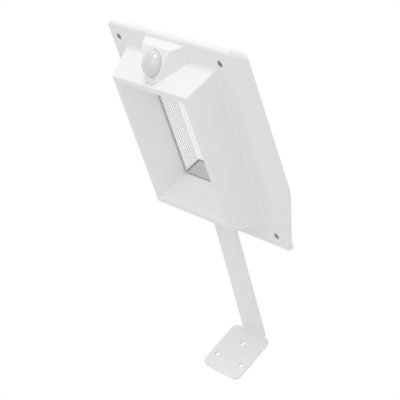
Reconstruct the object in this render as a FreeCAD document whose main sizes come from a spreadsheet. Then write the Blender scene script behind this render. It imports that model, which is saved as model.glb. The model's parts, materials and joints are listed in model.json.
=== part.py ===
import FreeCAD, Part
import math
import os
import re
import Sketcher
from FreeCAD import Placement, Rotation, Vector

# Solar light with a motion sensor, on a folded steel bracket that is screwed to a wall.
# Row frame, in millimetres: the wall is the plane Y = 0 and the light stands out along -Y. +Z is up.
# The origin is the centre of the bracket foot's wall face.
# The housing pieces are drawn in the housing's own frame: X across, Y up along its front plate and
# Z out of the plate's front face. One placement then seats that frame on the bracket.

# Driving sizes in millimetres and degrees
SIZES = {
    # Front plate and the tray behind it
    "plate_width": 160.0,
    "plate_height": 184.8,
    "plate_thickness": 4.0,
    "plate_corner": 6.0,
    "plate_fold": 3.4,
    "tray_fold": 1.4,
    "housing_depth": 17.8,
    "top_slope_run": 11.0,
    "bottom_slope_run": 39.8,
    "wall": 2.2,
    "floor_thickness": 1.6,
    "slide_gap": 0.3,
    # Shade round the lamp
    "shade_height": 27.8,
    "shade_rim_width": 99.6,
    "shade_rim_above": 61.3,
    "shade_rim_below": 61.2,
    "shade_base_width": 117.8,
    "shade_base_above": 72.8,
    "shade_base_below": 72.9,
    "shade_edge_round": 1.4,
    "shade_foot_round": 4.0,
    "rim_width": 5.0,
    "rim_thickness": 2.4,
    "mouth_width": 78.0,
    "mouth_above": 41.2,
    "mouth_below": 47.0,
    "collar_depth": 1.6,
    # Sensor housing on the shade's upper wall
    "sensor_base_width": 52.0,
    "sensor_base_above": 87.6,
    "sensor_base_below": 63.2,
    "sensor_nose_width": 9.0,
    "sensor_nose_above": 84.8,
    "sensor_height": 26.4,
    "sensor_brow_above": 85.6,
    "sensor_brow_out": 9.8,
    "sensor_face_lean": 34.5,
    "sensor_edge_round": 1.0,
    # Sensor dome, its holder, board and detector
    "dome_radius": 10.8,
    "dome_height": 6.7,
    "dome_skirt": 0.6,
    "dome_wall": 1.0,
    "dome_down_face": 11.5,
    "dome_flange": 0.8,
    "dome_flange_thickness": 0.8,
    "holder_length": 4.0,
    "holder_wall": 1.8,
    "sensor_board_thickness": 1.2,
    "detector_radius": 4.6,
    "detector_height": 3.6,
    "detector_window": 3.2,
    "detector_window_depth": 0.3,
    # Screws that close the housing
    "screw_inset_across": 13.1,
    "screw_inset_up": 13.0,
    "screw_head_radius": 2.7,
    "screw_head_height": 1.1,
    "screw_head_pocket": 1.3,
    "screw_shank_radius": 1.4,
    "screw_shank_length": 5.4,
    "screw_drive": 1.6,
    "boss_radius": 3.4,
    "boss_length": 3.4,
    # Gasket between plate and tray
    "gasket_thickness": 1.0,
    "gasket_width": 2.2,
    "ledge_thickness": 2.0,
    "gasket_top_margin": 4.6,
    "gasket_low_margin": 17.2,
    # Solar panel in the tray's back
    "panel_side_margin": 8.0,
    "panel_top_margin": 4.2,
    "panel_low_margin": 4.6,
    "pad_thickness": 0.3,
    "panel_board_thickness": 1.0,
    "cell_thickness": 0.3,
    "glass_thickness": 1.0,
    "cell_columns": 6,
    "cell_rows": 2,
    "cell_margin": 3.0,
    "cell_gap": 1.6,
    "lead_hole_radius": 2.0,
    "lead_hole_beyond_board": 10.0,
    # Lamp: dark frame, folded lens sheet, board and diodes
    "lamp_gap": 0.9,
    "lamp_front": 0.8,
    "lamp_side_inset": 9.0,
    "lamp_end_inset": 8.4,
    "lamp_frame_wall": 0.8,
    "lens_thickness": 0.8,
    "lens_gap": 0.2,
    "lens_floor_gap": 0.9,
    "lamp_board_side_inset": 0.4,
    "lamp_board_end_inset": 3.4,
    "lamp_board_thickness": 1.2,
    "diode_length": 3.5,
    "diode_width": 2.8,
    "diode_height": 0.7,
    "diode_columns": 6,
    "diode_rows": 6,
    "diode_pitch_across": 9.8,
    "diode_pitch_up": 10.0,
    # Battery over the lamp
    "battery_radius": 9.1,
    "battery_length": 65.2,
    "battery_gap": 3.5,
    "battery_nub_radius": 3.0,
    "battery_nub_length": 0.8,
    "cradle_floor": 0.9,
    "cradle_wall": 0.8,
    "cradle_end": 2.4,
    "cradle_height": 6.4,
    "contact_thickness": 0.5,
    "contact_width": 9.0,
    "contact_height": 8.0,
    "cell_play": 0.1,
    # Control board beside the lamp
    "control_side_gap": 4.0,
    "control_width": 28.0,
    "control_above": 16.0,
    "control_below": 44.0,
    "control_board_thickness": 1.2,
    "post_height": 1.4,
    "post_radius": 2.2,
    "post_inset": 3.4,
    "board_screw_radius": 1.0,
    "board_screw_head_radius": 1.9,
    "board_screw_head_height": 1.0,
    "chip_length": 9.0,
    "chip_width": 6.0,
    "chip_height": 1.5,
    "coil_radius": 3.0,
    "coil_height": 4.0,
    "coil_up": 9.0,
    "socket_length": 7.0,
    "socket_width": 4.4,
    "socket_height": 4.2,
    "socket_edge": 0.6,
    # Push switch behind the lower slope of the tray
    "switch_across": 44.0,
    "switch_up_slope": 31.0,
    "button_radius": 3.6,
    "button_proud": 1.0,
    "button_length": 4.4,
    "button_travel": 1.0,
    "button_flange": 1.2,
    "button_flange_thickness": 0.8,
    "switch_body_width": 6.0,
    "switch_body_height": 2.6,
    "switch_pin_radius": 1.7,
    "switch_pin_height": 0.9,
    "switch_board_width": 10.0,
    "switch_board_length": 20.0,
    "switch_board_thickness": 1.0,
    "running_gap": 0.2,
    # Bracket, folded from one strip
    "strip_thickness": 2.0,
    "strip_width": 29.2,
    "strip_bend": 2.0,
    "foot_width": 48.2,
    "foot_length": 47.8,
    "foot_corner": 6.0,
    "foot_hole_radius": 2.4,
    "foot_hole_spread": 32.0,
    "foot_hole_below": 10.5,
    "foot_hole_above": 8.2,
    "foot_shoulder": 1.8,
    "arm_length": 122.1,
    "arm_rise": 18.7,
    "tab_length": 24.0,
    "tab_start": 1.5,
    "housing_tilt": 14.9,
    # Bolts that hold the housing on the bracket
    "bolt_up_tab": 15.0,
    "bolt_spread": 18.0,
    "bolt_radius": 1.95,
    "bolt_hole_radius": 2.2,
    "bolt_head_radius": 3.7,
    "bolt_head_height": 2.6,
    "bolt_end": 1.4,
    "bolt_drive": 2.2,
    "washer_radius": 4.4,
    "washer_thickness": 0.8,
    "nut_flats": 7.0,
    "nut_thickness": 3.0,
    # Leads between the boards
    "lead_radius": 0.8,
    "lead_rise": 2.1,
    "lead_run_in": 4.0,
    "sensor_lead_across": 7.0,
}

# Sizes that follow from the driving ones
DERIVED = {
    "half_width": "plate_width / 2",
    "half_height": "plate_height / 2",
    "screw_across": "half_width - screw_inset_across",
    "screw_up": "half_height - screw_inset_up",
    "gasket_above": "half_height - gasket_top_margin",
    "gasket_below": "half_height - gasket_low_margin",
    "panel_half": "half_width - panel_side_margin",
    "panel_above": "half_height - top_slope_run - panel_top_margin",
    "panel_below": "half_height - bottom_slope_run - panel_low_margin",
    "ledge_reach": "2 * wall + gasket_width",
    "gasket_back": "plate_thickness + gasket_thickness",
    "gutter_start": "wall + 0.5 * slide_gap",
    "gutter_end": "wall + 1.5 * slide_gap + gasket_width",
    "gutter_low": "gasket_below - 1.5 * slide_gap - gasket_width",
    "gutter_high": "gasket_above - 1.5 * slide_gap - gasket_width",
    "slope_depth": "housing_depth - plate_thickness",
    "bottom_slope_length": "sqrt(bottom_slope_run * bottom_slope_run + slope_depth * slope_depth)",
    "top_slope_length": "sqrt(top_slope_run * top_slope_run + slope_depth * slope_depth)",
    "bottom_wall_run": "wall * bottom_slope_length / slope_depth",
    "top_wall_run": "wall * top_slope_length / slope_depth",
    "bottom_slope_angle": "atan(slope_depth / bottom_slope_run) / 1 deg",
    "panel_depth": "pad_thickness + panel_board_thickness + cell_thickness + glass_thickness",
    "floor_depth": "housing_depth - panel_depth - floor_thickness",
    "plate_room_half": "half_width - 3 * wall - gasket_width",
    "shade_side_lean": "(shade_base_width - shade_rim_width) / 2 / shade_height",
    "shade_top_lean": "(shade_base_above - shade_rim_above) / shade_height",
    "shade_bottom_lean": "(shade_base_below - shade_rim_below) / shade_height",
    "wall_lean": "atan(shade_height / (shade_base_below - shade_rim_below)) / 1 deg",
    "sensor_side_lean": "(sensor_base_width - sensor_nose_width) / 2 / sensor_height",
    "sensor_top_lean": "(sensor_base_above - sensor_nose_above) / sensor_height",
    "dome_up": "sensor_brow_above - dome_down_face * cos(sensor_face_lean)",
    "dome_out": "sensor_brow_out + dome_down_face * sin(sensor_face_lean)",
    "flange_back": "wall + dome_flange_thickness",
    "holder_back": "flange_back + holder_length",
    "lamp_front_half": "mouth_width / 2 - lamp_gap",
    "lamp_front_above": "mouth_above - lamp_gap",
    "lamp_front_below": "mouth_below - lamp_gap",
    "lamp_back": "floor_depth - lamp_board_thickness",
    "lens_back": "lamp_back - lens_floor_gap",
    "lamp_board_half": "lamp_front_half - lamp_board_side_inset",
    "lamp_board_above": "lamp_front_above - lamp_board_end_inset",
    "lamp_board_below": "lamp_front_below - lamp_board_end_inset",
    "battery_up": "mouth_above + wall + battery_gap + battery_radius + cradle_wall",
    "battery_out": "cradle_floor + battery_radius - floor_depth",
    "cradle_inside": "battery_length + battery_nub_length + 2 * contact_thickness + 2 * cell_play",
    "control_board_back": "floor_depth - post_height",
    "control_board_front": "control_board_back - control_board_thickness",
    "switch_up": "bottom_slope_run * switch_up_slope / bottom_slope_length - half_height",
    "switch_out": "-plate_thickness - slope_depth * switch_up_slope / bottom_slope_length",
    "switch_turn": "180 - bottom_slope_angle",
    "switch_rest": "button_length - button_proud",
    "switch_pin_top": "switch_rest + button_travel + 0.5 * running_gap",
    "switch_body_top": "switch_pin_top + switch_pin_height",
    "switch_board_top": "switch_body_top + switch_body_height",
    "bend_top": "foot_length / 2",
    "tab_bend_y": "-strip_thickness / 2 - arm_length * cos(arm_rise)",
    "tab_bend_z": "foot_length / 2 + arm_length * sin(arm_rise)",
    "tab_direction": "180 - housing_tilt + wall_lean",
    "foot_mitre_angle": "(270 - arm_rise) / 2",
    "foot_mitre": "strip_thickness / 2 / cos((90 - arm_rise) / 2)",
    "tab_mitre_angle": "(360 - arm_rise - housing_tilt + wall_lean) / 2",
    "tab_mitre": "strip_thickness / 2 / cos((wall_lean - housing_tilt + arm_rise) / 2)",
    "tab_end_y": "tab_bend_y + tab_length * cos(tab_direction)",
    "tab_end_z": "tab_bend_z + tab_length * sin(tab_direction)",
    "seat_y": "tab_bend_y - shade_base_below * cos(housing_tilt) - tab_start * cos(tab_direction)"
              " + strip_thickness / 2 * sin(tab_direction)",
    "seat_z": "tab_bend_z + shade_base_below * sin(housing_tilt) - tab_start * sin(tab_direction)"
              " - strip_thickness / 2 * cos(tab_direction)",
    "seat_turn": "180 - housing_tilt",
    "bolt_up": "bolt_up_tab * cos(wall_lean) - shade_base_below",
    "bolt_out": "bolt_up_tab * sin(wall_lean)",
    "shade_inset": "1.1 * wall",
    "sensor_inset": "1.3 * wall",
    "sensor_stack": "holder_back + sensor_board_thickness",
    "bolt_grip": "shade_inset * sin(wall_lean)",
    "bolt_head_seat": "strip_thickness + washer_thickness",
    "bolt_y": "tab_bend_y + (bolt_up_tab - tab_start) * cos(tab_direction)",
    "bolt_z": "tab_bend_z + (bolt_up_tab - tab_start) * sin(tab_direction)",
    "control_end": "half_width - wall - control_side_gap",
    "control_across": "control_end - control_width",
    "control_middle": "control_end - control_width / 2",
    "socket_across": "control_end - socket_edge - socket_width",
    "socket_pitch": "socket_length + 0.5",
    "socket_start": "2 * post_inset + 0.5",
    "socket_line": "lead_rise - control_board_front",
    "panel_lead_up": "control_above + lead_hole_beyond_board",
    "under_plate": "-wall - 3 * lead_radius",
    "over_battery": "battery_out + battery_radius + 3 * lead_radius",
}

os.makedirs("parts", exist_ok=True)
doc = FreeCAD.newDocument("sensor_light")
sheet = doc.addObject("Spreadsheet::Sheet", "Sizes")
for row, (name, value) in enumerate(SIZES.items(), start=1):
    sheet.set(f"A{row}", name)
    sheet.set(f"B{row}", str(value))
    sheet.setAlias(f"B{row}", name)
doc.recompute()

PIECES = {}


def formula(text):
    """Write a size formula out in terms of the sheet's cells."""
    def cell(match):
        name = match.group()
        if name in DERIVED:
            return "(" + formula(DERIVED[name]) + ")"
        return "Sizes." + name if name in SIZES else name
    return re.sub(r"[a-z][a-z_]*", cell, str(text))


def bind(item, **sizes):
    """Bind an object's properties to formulas on the sheet."""
    for name, text in sizes.items():
        item.setExpression(name, formula(text))


def place(item, at, turn=None):
    """Bind an object's place, and its turn about one axis."""
    if turn:
        axis, angle = turn
        item.Placement = Placement(Vector(), Rotation(Vector(*[float(axis == name) for name in "xyz"]), 1))
        item.setExpression("Placement.Rotation.Angle", formula(angle))
    for name, text in zip("xyz", at):
        item.setExpression("Placement.Base." + name, formula(text))


def brick(name, across, up, out):
    """A box from low to high along each axis of its frame."""
    item = doc.addObject("Part::Box", name)
    spans = [f"{high} - ({low})" for low, high in (across, up, out)]
    bind(item, Length=spans[0], Width=spans[1], Height=spans[2])
    place(item, (across[0], up[0], out[0]))
    return item


def leaning_brick(name, at, turn, across, up, out):
    """A box that is drawn in a frame of its own at a point, turned about X."""
    item = brick(name, across, up, out)
    holder = doc.addObject("Part::Compound", name + "_frame")
    holder.Links = [item]
    place(holder, at, ("x", turn))
    return holder


def rod(name, radius, length, at, turn=None):
    """A cylinder along its own Z, which a turn may lay over."""
    item = doc.addObject("Part::Cylinder", name)
    bind(item, Radius=radius, Height=length)
    place(item, at, turn)
    return item


def leaning_rod(name, at, turn, radius, low, high, across="0", up="0"):
    """A cylinder along the Z of a frame that is turned about X at a point."""
    item = rod(name, radius, f"{high} - ({low})", (across, up, low))
    holder = doc.addObject("Part::Compound", name + "_frame")
    holder.Links = [item]
    place(holder, at, ("x", turn))
    return holder


def frustum(name, front, front_face, back, back_face):
    """A block that tapers from one rectangle to another behind it.

    front and back are places along Z. Each face is half its width, how far it reaches down
    and how far it reaches up.
    """
    item = doc.addObject("Part::Wedge", name)
    half, below, above = front_face
    bind(item, Ymin=f"-({front})", Xmin=f"-({half})", Xmax=half, Zmin=f"-({below})", Zmax=above)
    half, below, above = back_face
    bind(item, Ymax=f"-({back})", X2min=f"-({half})", X2max=half, Z2min=f"-({below})", Z2max=above)
    place(item, ("0", "0", "0"), ("x", "-90"))
    return item


def fuse(name, *items):
    item = doc.addObject("Part::MultiFuse", name)
    item.Shapes = list(items)
    return item


def cut(name, base, *tools):
    item = doc.addObject("Part::Cut", name)
    item.Base = base
    item.Tool = tools[0] if len(tools) == 1 else fuse(name + "_tools", *tools)
    return item


def round_edges(name, base, radius, wanted):
    """Round the edges of a piece that a test on their two ends and middle picks out."""
    doc.recompute()
    item = doc.addObject("Part::Fillet", name)
    item.Base = base
    edges = []
    for number, edge in enumerate(base.Shape.Edges, start=1):
        if len(edge.Vertexes) == 2 and wanted(edge.Vertexes[0].Point, edge.Vertexes[1].Point):
            edges.append((number, radius, radius))
    item.Edges = edges
    return item


def piece(label, item, seat="housing"):
    """Name a finished piece and seat it on the bracket, where it isn't the bracket's own."""
    if item.TypeId in ("Part::Box", "Part::Cylinder", "Part::Fillet", "Part::Wedge", "Part::Compound"):
        holder = doc.addObject("Part::Compound", label + "_piece")
        holder.Links = [item]
        item = holder
    item.Label = label
    if seat == "housing":
        place(item, ("0", "seat_y", "seat_z"), ("x", "seat_turn"))
    PIECES[label] = item
    return item


def tray_face(depth, inset="0", low_run="0", high_run="0"):
    """The housing's outline at a depth behind the plate's front, drawn in by a wall."""
    slope = f"(({depth}) - plate_thickness) / slope_depth"
    return (f"half_width - ({inset})",
            f"half_height - bottom_slope_run * {slope} - ({low_run})",
            f"half_height - top_slope_run * {slope} - ({high_run})")


def shade_face(out, inset="0"):
    """The shade's outer outline at a height over the plate, drawn in by a wall."""
    return (f"shade_base_width / 2 - shade_side_lean * ({out}) - ({inset})",
            f"shade_base_below - shade_bottom_lean * ({out}) - ({inset})",
            f"shade_base_above - shade_top_lean * ({out}) - ({inset})")


def mouth_face(out, spread="0"):
    """The shade's inner outline at a height over the plate, spread out by a wall."""
    share = f"({out}) / shade_height"
    return (f"mouth_width / 2 + (shade_rim_width / 2 - rim_width - mouth_width / 2) * {share} + ({spread})",
            f"mouth_below + (shade_rim_below - rim_width - mouth_below) * {share} + ({spread})",
            f"mouth_above + (shade_rim_above - rim_width - mouth_above) * {share} + ({spread})")


def sensor_face(out, inset="0"):
    """The sensor housing's outline at a height over the plate, before its sloping face is cut."""
    return (f"sensor_base_width / 2 - sensor_side_lean * ({out}) - ({inset})",
            "-sensor_base_below",
            f"sensor_base_above - sensor_top_lean * ({out}) - ({inset})")


def near(value, target, margin=0.01):
    return abs(value - target) < margin


# Front cover: plate, shade, sensor housing and the mouth of the lamp, moulded as one
CUT_OVER = "5"
BITE = "0.5"
BOLTS_ACROSS = ("-bolt_spread / 2", "bolt_spread / 2")
FACE_AT = ("0", "sensor_brow_above", "sensor_brow_out")
DOME_AT = ("0", "dome_up", "dome_out")
SCREWS = [(f"{left} * screw_across", f"{low} * screw_up") for left in ("-1", "1") for low in ("-1", "1")]


def plate_recess():
    """The shallow room behind the plate, inside the gasket, with a boss left round each screw."""
    room = brick("plate_room", ("-plate_room_half", "plate_room_half"),
                 ("-gasket_below + gasket_width + wall", "gasket_above - gasket_width - wall"),
                 (f"-plate_thickness - {BITE}", "-wall"))
    bosses = [rod(f"cover_boss_{number}", "boss_radius", "2 * plate_thickness",
                  at + ("-2 * plate_thickness",)) for number, at in enumerate(SCREWS)]
    return cut("plate_recess", room, *bosses)


def front_cover():
    half_width = SIZES["plate_width"] / 2
    half_height = SIZES["plate_height"] / 2
    thickness = SIZES["plate_thickness"]

    def upright(a, b):
        at_corner = near(abs(a.x), half_width) and near(abs(a.y), half_height)
        return at_corner and near(a.x, b.x) and near(a.y, b.y)

    def front_fold(a, b):
        return near(a.z, 0) and near(b.z, 0)

    def shade_foot(a, b):
        on_face = near(a.z, 0) and near(b.z, 0)
        return on_face and all(abs(p.x) < half_width - 10 and abs(p.y) < half_height - 10 for p in (a, b))

    def shade_edges(a, b):
        return a.z > -thickness / 2 and b.z > -thickness / 2 and max(a.z, b.z) > 1

    def sensor_corners(a, b):
        return max(a.z, b.z) > 1 and max(a.y, b.y) > SIZES["shade_base_above"]

    slab = brick("plate_slab", ("-half_width", "half_width"), ("-half_height", "half_height"),
                 ("-plate_thickness", "0"))
    slab = round_edges("plate_corners", slab, SIZES["plate_corner"], upright)
    slab = round_edges("plate_folds", slab, SIZES["plate_fold"], front_fold)
    shade = frustum("shade_block", "shade_height", shade_face("shade_height"), "0", shade_face("0"))
    shade = round_edges("shade_edges", shade, SIZES["shade_edge_round"], shade_edges)
    body = fuse("plate_and_shade", slab, shade)
    body = round_edges("shade_foot_fillet", body, SIZES["shade_foot_round"], shade_foot)
    sensor = frustum("sensor_block", "sensor_height", sensor_face("sensor_height"), f"-{BITE}",
                     sensor_face(f"-{BITE}"))
    sensor = cut("sensor_sloped", sensor,
                 leaning_brick("sensor_slope", FACE_AT, "-sensor_face_lean", ("-half_width", "half_width"),
                               ("-half_width", "half_width"), ("0", "half_width")))
    sensor = round_edges("sensor_edges", sensor, SIZES["sensor_edge_round"], sensor_corners)
    body = fuse("cover_solid", body, sensor)

    hollow = frustum("shade_hollow", "shade_height - rim_thickness",
                     shade_face("shade_height - rim_thickness", "shade_inset"),
                     f"-plate_thickness - {BITE}", shade_face(f"-plate_thickness - {BITE}", "shade_inset"))
    sensor_hollow = frustum("sensor_hollow_block", "sensor_height - wall",
                            sensor_face("sensor_height - wall", "sensor_inset"),
                            f"-plate_thickness - {BITE}",
                            sensor_face(f"-plate_thickness - {BITE}", "sensor_inset"))
    sensor_hollow = cut("sensor_hollow", sensor_hollow,
                        leaning_brick("sensor_hollow_slope", FACE_AT, "-sensor_face_lean",
                                      ("-half_width", "half_width"), ("-half_width", "half_width"),
                                      ("-wall", "half_width")))
    body = cut("cover_shell", body, hollow, sensor_hollow)
    skin = frustum("mouth_skin", "shade_height - rim_thickness / 2",
                   mouth_face("shade_height - rim_thickness / 2", "wall"), "0", mouth_face("0", "wall"))
    collar = frustum("mouth_collar", "0", mouth_face("0", "wall"), "-plate_thickness - collar_depth",
                     mouth_face("0", "wall"))
    body = fuse("cover_with_mouth", cut("cover_hollowed", body, plate_recess()), skin, collar)
    mouth = frustum("mouth_opening", f"shade_height + {CUT_OVER}", mouth_face(f"shade_height + {CUT_OVER}"),
                    "0", mouth_face("0"))
    throat = frustum("mouth_throat", "0", mouth_face("0"), f"-plate_thickness - {CUT_OVER}", mouth_face("0"))
    tools = [mouth, throat]
    tools.append(leaning_rod("dome_opening", DOME_AT, "-sensor_face_lean", "dome_radius + running_gap",
                             f"-{CUT_OVER}", CUT_OVER))
    tools.append(leaning_rod("dome_seat", DOME_AT, "-sensor_face_lean",
                             "dome_radius + dome_flange + running_gap", f"-sensor_stack - {BITE}", "-wall"))
    for number, at in enumerate(SCREWS):
        tools.append(rod(f"screw_pocket_{number}", "screw_head_radius + running_gap",
                         f"screw_head_pocket + {CUT_OVER}", at + ("-screw_head_pocket",)))
        tools.append(rod(f"screw_way_{number}", "screw_shank_radius + running_gap",
                         f"plate_thickness + {CUT_OVER}", at + (f"-plate_thickness - {BITE}",)))
    for number, across in enumerate(BOLTS_ACROSS):
        tools.append(leaning_rod(f"bolt_way_{number}", ("0", "bolt_up", "bolt_out"), "wall_lean",
                                 "bolt_hole_radius", f"-{CUT_OVER}", CUT_OVER, across=across))
    return cut("cover_opened", body, *tools)


piece("front_cover", front_cover())


# Rear cover: a tray with sloping ends that carries the solar panel in its back
def rear_cover():
    half_width = SIZES["plate_width"] / 2

    def slanted(a, b):
        return near(abs(a.x), half_width) and near(a.x, b.x) and abs(a.z - b.z) > 1

    def back_fold(a, b):
        return near(a.z, -SIZES["housing_depth"]) and near(b.z, -SIZES["housing_depth"])

    block = frustum("tray_block", "-plate_thickness", tray_face("plate_thickness"), "-housing_depth",
                    tray_face("housing_depth"))
    block = round_edges("tray_corners", block, SIZES["plate_corner"], slanted)
    block = round_edges("tray_folds", block, SIZES["tray_fold"], back_fold)
    inner = ("wall", "bottom_wall_run", "top_wall_run")
    room = frustum("tray_room", "-plate_thickness", tray_face("plate_thickness", *inner), "-floor_depth",
                   tray_face("floor_depth", *inner))
    tray = cut("tray_shell", block, room)
    ledge = brick("ledge_block", ("-half_width + wall / 2", "half_width - wall / 2"),
                  ("-gasket_below - slide_gap", "gasket_above + slide_gap"),
                  ("-gasket_back - ledge_thickness", "-gasket_back"))
    ledge_hole = brick("ledge_hole", ("-half_width + ledge_reach", "half_width - ledge_reach"),
                       ("-gasket_below + gasket_width + slide_gap",
                        "gasket_above - gasket_width - slide_gap"), ("-floor_depth", "0"))
    parts = [tray, cut("ledge", ledge, ledge_hole)]
    for number, at in enumerate(SCREWS):
        length = "boss_length" if at[1].startswith("-") else "floor_depth - plate_thickness"
        parts.append(rod(f"screw_boss_{number}", "boss_radius", length,
                         at + (f"-plate_thickness - ({length})",)))
    for number, (across, up) in enumerate(CONTROL_POSTS):
        parts.append(rod(f"control_post_{number}", "post_radius", f"post_height + {BITE}",
                         (across, up, f"-floor_depth - {BITE}")))
    for side, left in enumerate(("-1", "1")):
        parts.append(leaning_rod(f"switch_post_{side}", SWITCH_AT, "switch_turn", "post_radius",
                                 "-switch_board_top", "-wall / 2",
                                 across=f"{left} * (switch_board_length / 2 - post_radius)"))
    tray = fuse("tray_solid", *parts)
    gutter = brick("gasket_gutter", ("-half_width + gutter_start", "half_width - gutter_start"),
                   ("-gasket_below - slide_gap / 2", "gasket_above + slide_gap / 2"),
                   ("-gasket_back", "-plate_thickness + 1"))
    gutter_core = brick("gasket_gutter_core", ("-half_width + gutter_end", "half_width - gutter_end"),
                        ("-gutter_low", "gutter_high"), ("-floor_depth", "0"))
    recess = brick("panel_recess", ("-panel_half - slide_gap", "panel_half + slide_gap"),
                   ("-panel_below - slide_gap", "panel_above + slide_gap"),
                   ("-housing_depth - 1", "-housing_depth + panel_depth"))
    tools = [cut("gasket_groove", gutter, gutter_core), recess]
    tools.append(rod("panel_lead_way", "lead_hole_radius", "floor_thickness + 1",
                     ("control_middle", "panel_lead_up", f"-floor_depth - floor_thickness - {BITE}")))
    tools.append(leaning_rod("button_way", SWITCH_AT, "switch_turn", "button_radius + running_gap",
                             "-wall - 1", "1"))
    for number, at in enumerate(SCREWS):
        deep = "-screw_head_pocket - screw_shank_length - running_gap"
        tools.append(rod(f"boss_way_{number}", "screw_shank_radius + 0.25 * running_gap",
                         "screw_shank_length", at + (deep,)))
    return cut("tray_opened", tray, *tools)


SWITCH_AT = ("switch_across", "switch_up", "switch_out")
CONTROL_POSTS = [(across, up) for across in ("control_across + post_inset",
                                             "control_end - post_inset")
                 for up in ("-control_below + post_inset", "control_above - post_inset")]

piece("rear_cover", rear_cover())


# Gasket and screws
def ring_brick(name, half, below, above, width, out):
    outer = brick(name + "_outer", (f"-({half})", half), (f"-({below})", above), out)
    inner = brick(name + "_inner", (f"-({half} - {width})", f"{half} - {width}"),
                  (f"-({below} - {width})", f"{above} - {width}"),
                  (f"{out[0]} - 1", f"{out[1]} + 1"))
    return cut(name + "_ring", outer, inner)


piece("housing_gasket", ring_brick("gasket", "half_width - wall - slide_gap", "gasket_below",
                                   "gasket_above", "gasket_width", ("-gasket_back", "-plate_thickness")))


def housing_screws():
    shafts = []
    drives = []
    for number, at in enumerate(SCREWS):
        shafts.append(fuse(
            f"screw_{number}",
            rod(f"screw_head_{number}", "screw_head_radius", "screw_head_height",
                at + ("-screw_head_pocket",)),
            rod(f"screw_shank_{number}", "screw_shank_radius", "screw_shank_length",
                at + ("-screw_head_pocket - screw_shank_length",))))
        for wide, tall in (("screw_drive", "screw_drive / 4"), ("screw_drive / 4", "screw_drive")):
            drives.append(brick(f"screw_drive_{len(drives)}", (f"{at[0]} - {wide}", f"{at[0]} + {wide}"),
                                (f"{at[1]} - {tall}", f"{at[1]} + {tall}"),
                                ("-screw_head_pocket + screw_head_height / 3", "0")))
    return cut("screws_driven", fuse("screws", *shafts), *drives)


piece("housing_screws", housing_screws())


# Solar panel: pad, board, cells and glass, from the tray's floor outwards
def panel_layer(name, start, thickness, margin="0"):
    back = f"-housing_depth + panel_depth - ({start}) - {thickness}"
    return brick(name, (f"-panel_half + {margin}", f"panel_half - {margin}"),
                 (f"-panel_below + {margin}", f"panel_above - {margin}"), (back, f"{back} + {thickness}"))


def solar_cells():
    cells = []
    columns = SIZES["cell_columns"]
    rows = SIZES["cell_rows"]
    wide = f"(2 * panel_half - 2 * cell_margin + cell_gap) / {columns}"
    tall = f"(panel_above + panel_below - 2 * cell_margin + cell_gap) / {rows}"
    back = "-housing_depth + glass_thickness"
    for column in range(columns):
        for row in range(rows):
            left = f"-panel_half + cell_margin + {column} * {wide}"
            low = f"-panel_below + cell_margin + {row} * {tall}"
            cells.append(brick(f"cell_{column}{row}", (left, f"{left} + {wide} - cell_gap"),
                               (low, f"{low} + {tall} - cell_gap"), (back, f"{back} + cell_thickness")))
    return fuse("cells", *cells)


piece("panel_pad", cut("pad_cut", panel_layer("pad_sheet", "0", "pad_thickness"),
                       rod("pad_lead_way", "lead_hole_radius", "housing_depth",
                           ("control_middle", "panel_lead_up", "-housing_depth"))))
piece("solar_board", panel_layer("board_sheet", "pad_thickness", "panel_board_thickness"))
piece("solar_cells", solar_cells())
piece("solar_glass", panel_layer("glass_sheet", "pad_thickness + panel_board_thickness + cell_thickness",
                                 "glass_thickness"))


# Lamp: a dark frame whose end plates slope in, a folded lens sheet along its sides, board and diodes
def lamp_face(out, inset="0", end_inset="0"):
    share = f"(-({out}) - lamp_front) / (lamp_back - lamp_front)"
    return (f"lamp_front_half - lamp_side_inset * {share} - ({inset})",
            f"lamp_front_below - lamp_end_inset * {share} - ({end_inset})",
            f"lamp_front_above - lamp_end_inset * {share} - ({end_inset})")


def lamp_frustum(name, front, back, inset="0", end_inset="0"):
    return frustum(name, front, lamp_face(front, inset, end_inset), back, lamp_face(back, inset, end_inset))


def lens_sheet():
    gap = "lamp_frame_wall + lens_gap"
    sheet_block = lamp_frustum("lens_block", "-lamp_front", "-lens_back", gap, gap)
    trough = lamp_frustum("lens_trough", f"-lamp_front + {BITE}", "-lens_back + lens_thickness",
                          f"{gap} + lens_thickness", "-lamp_end_inset")
    return cut("lens_folded", sheet_block, trough)


piece("lamp_frame", cut("lamp_frame_cut", lamp_frustum("lamp_frame_block", "-lamp_front", "-lamp_back"),
                        lamp_frustum("lamp_frame_room", f"-lamp_front + {BITE}", f"-lamp_back - {BITE}",
                                     "lamp_frame_wall", "lamp_frame_wall")))
piece("lens_sheet", lens_sheet())
piece("lamp_board", brick("lamp_board_sheet", ("-lamp_board_half", "lamp_board_half"),
                          ("-lamp_board_below", "lamp_board_above"), ("-floor_depth", "-lamp_back")))


def lamp_diodes():
    diodes = []
    columns = SIZES["diode_columns"]
    rows = SIZES["diode_rows"]
    middle = "(lamp_front_above - lamp_front_below) / 2"
    for column in range(columns):
        for row in range(rows):
            across = f"({column - (columns - 1) / 2}) * diode_pitch_across"
            up = f"{middle} + ({row - (rows - 1) / 2}) * diode_pitch_up"
            diodes.append(brick(f"diode_{column}{row}",
                                (f"{across} - diode_length / 2", f"{across} + diode_length / 2"),
                                (f"{up} - diode_width / 2", f"{up} + diode_width / 2"),
                                ("-lamp_back", "-lamp_back + diode_height")))
    return fuse("diodes", *diodes)


piece("lamp_diodes", lamp_diodes())


# Motion sensor, drawn in the frame of the sloping face: Z out through the dome
def dome_half(name, radius, height):
    item = doc.addObject("Part::Ellipsoid", name)
    bind(item, Radius1=height, Radius2=radius, Radius3=radius, Angle1="0")
    place(item, ("0", "0", "dome_skirt"))
    return item


def on_face(label, item):
    """Seat a piece of the sensor on the sloping face, in the housing's frame."""
    holder = doc.addObject("Part::Compound", label + "_on_face")
    holder.Links = [item]
    place(holder, DOME_AT, ("x", "-sensor_face_lean"))
    return piece(label, holder)


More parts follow.
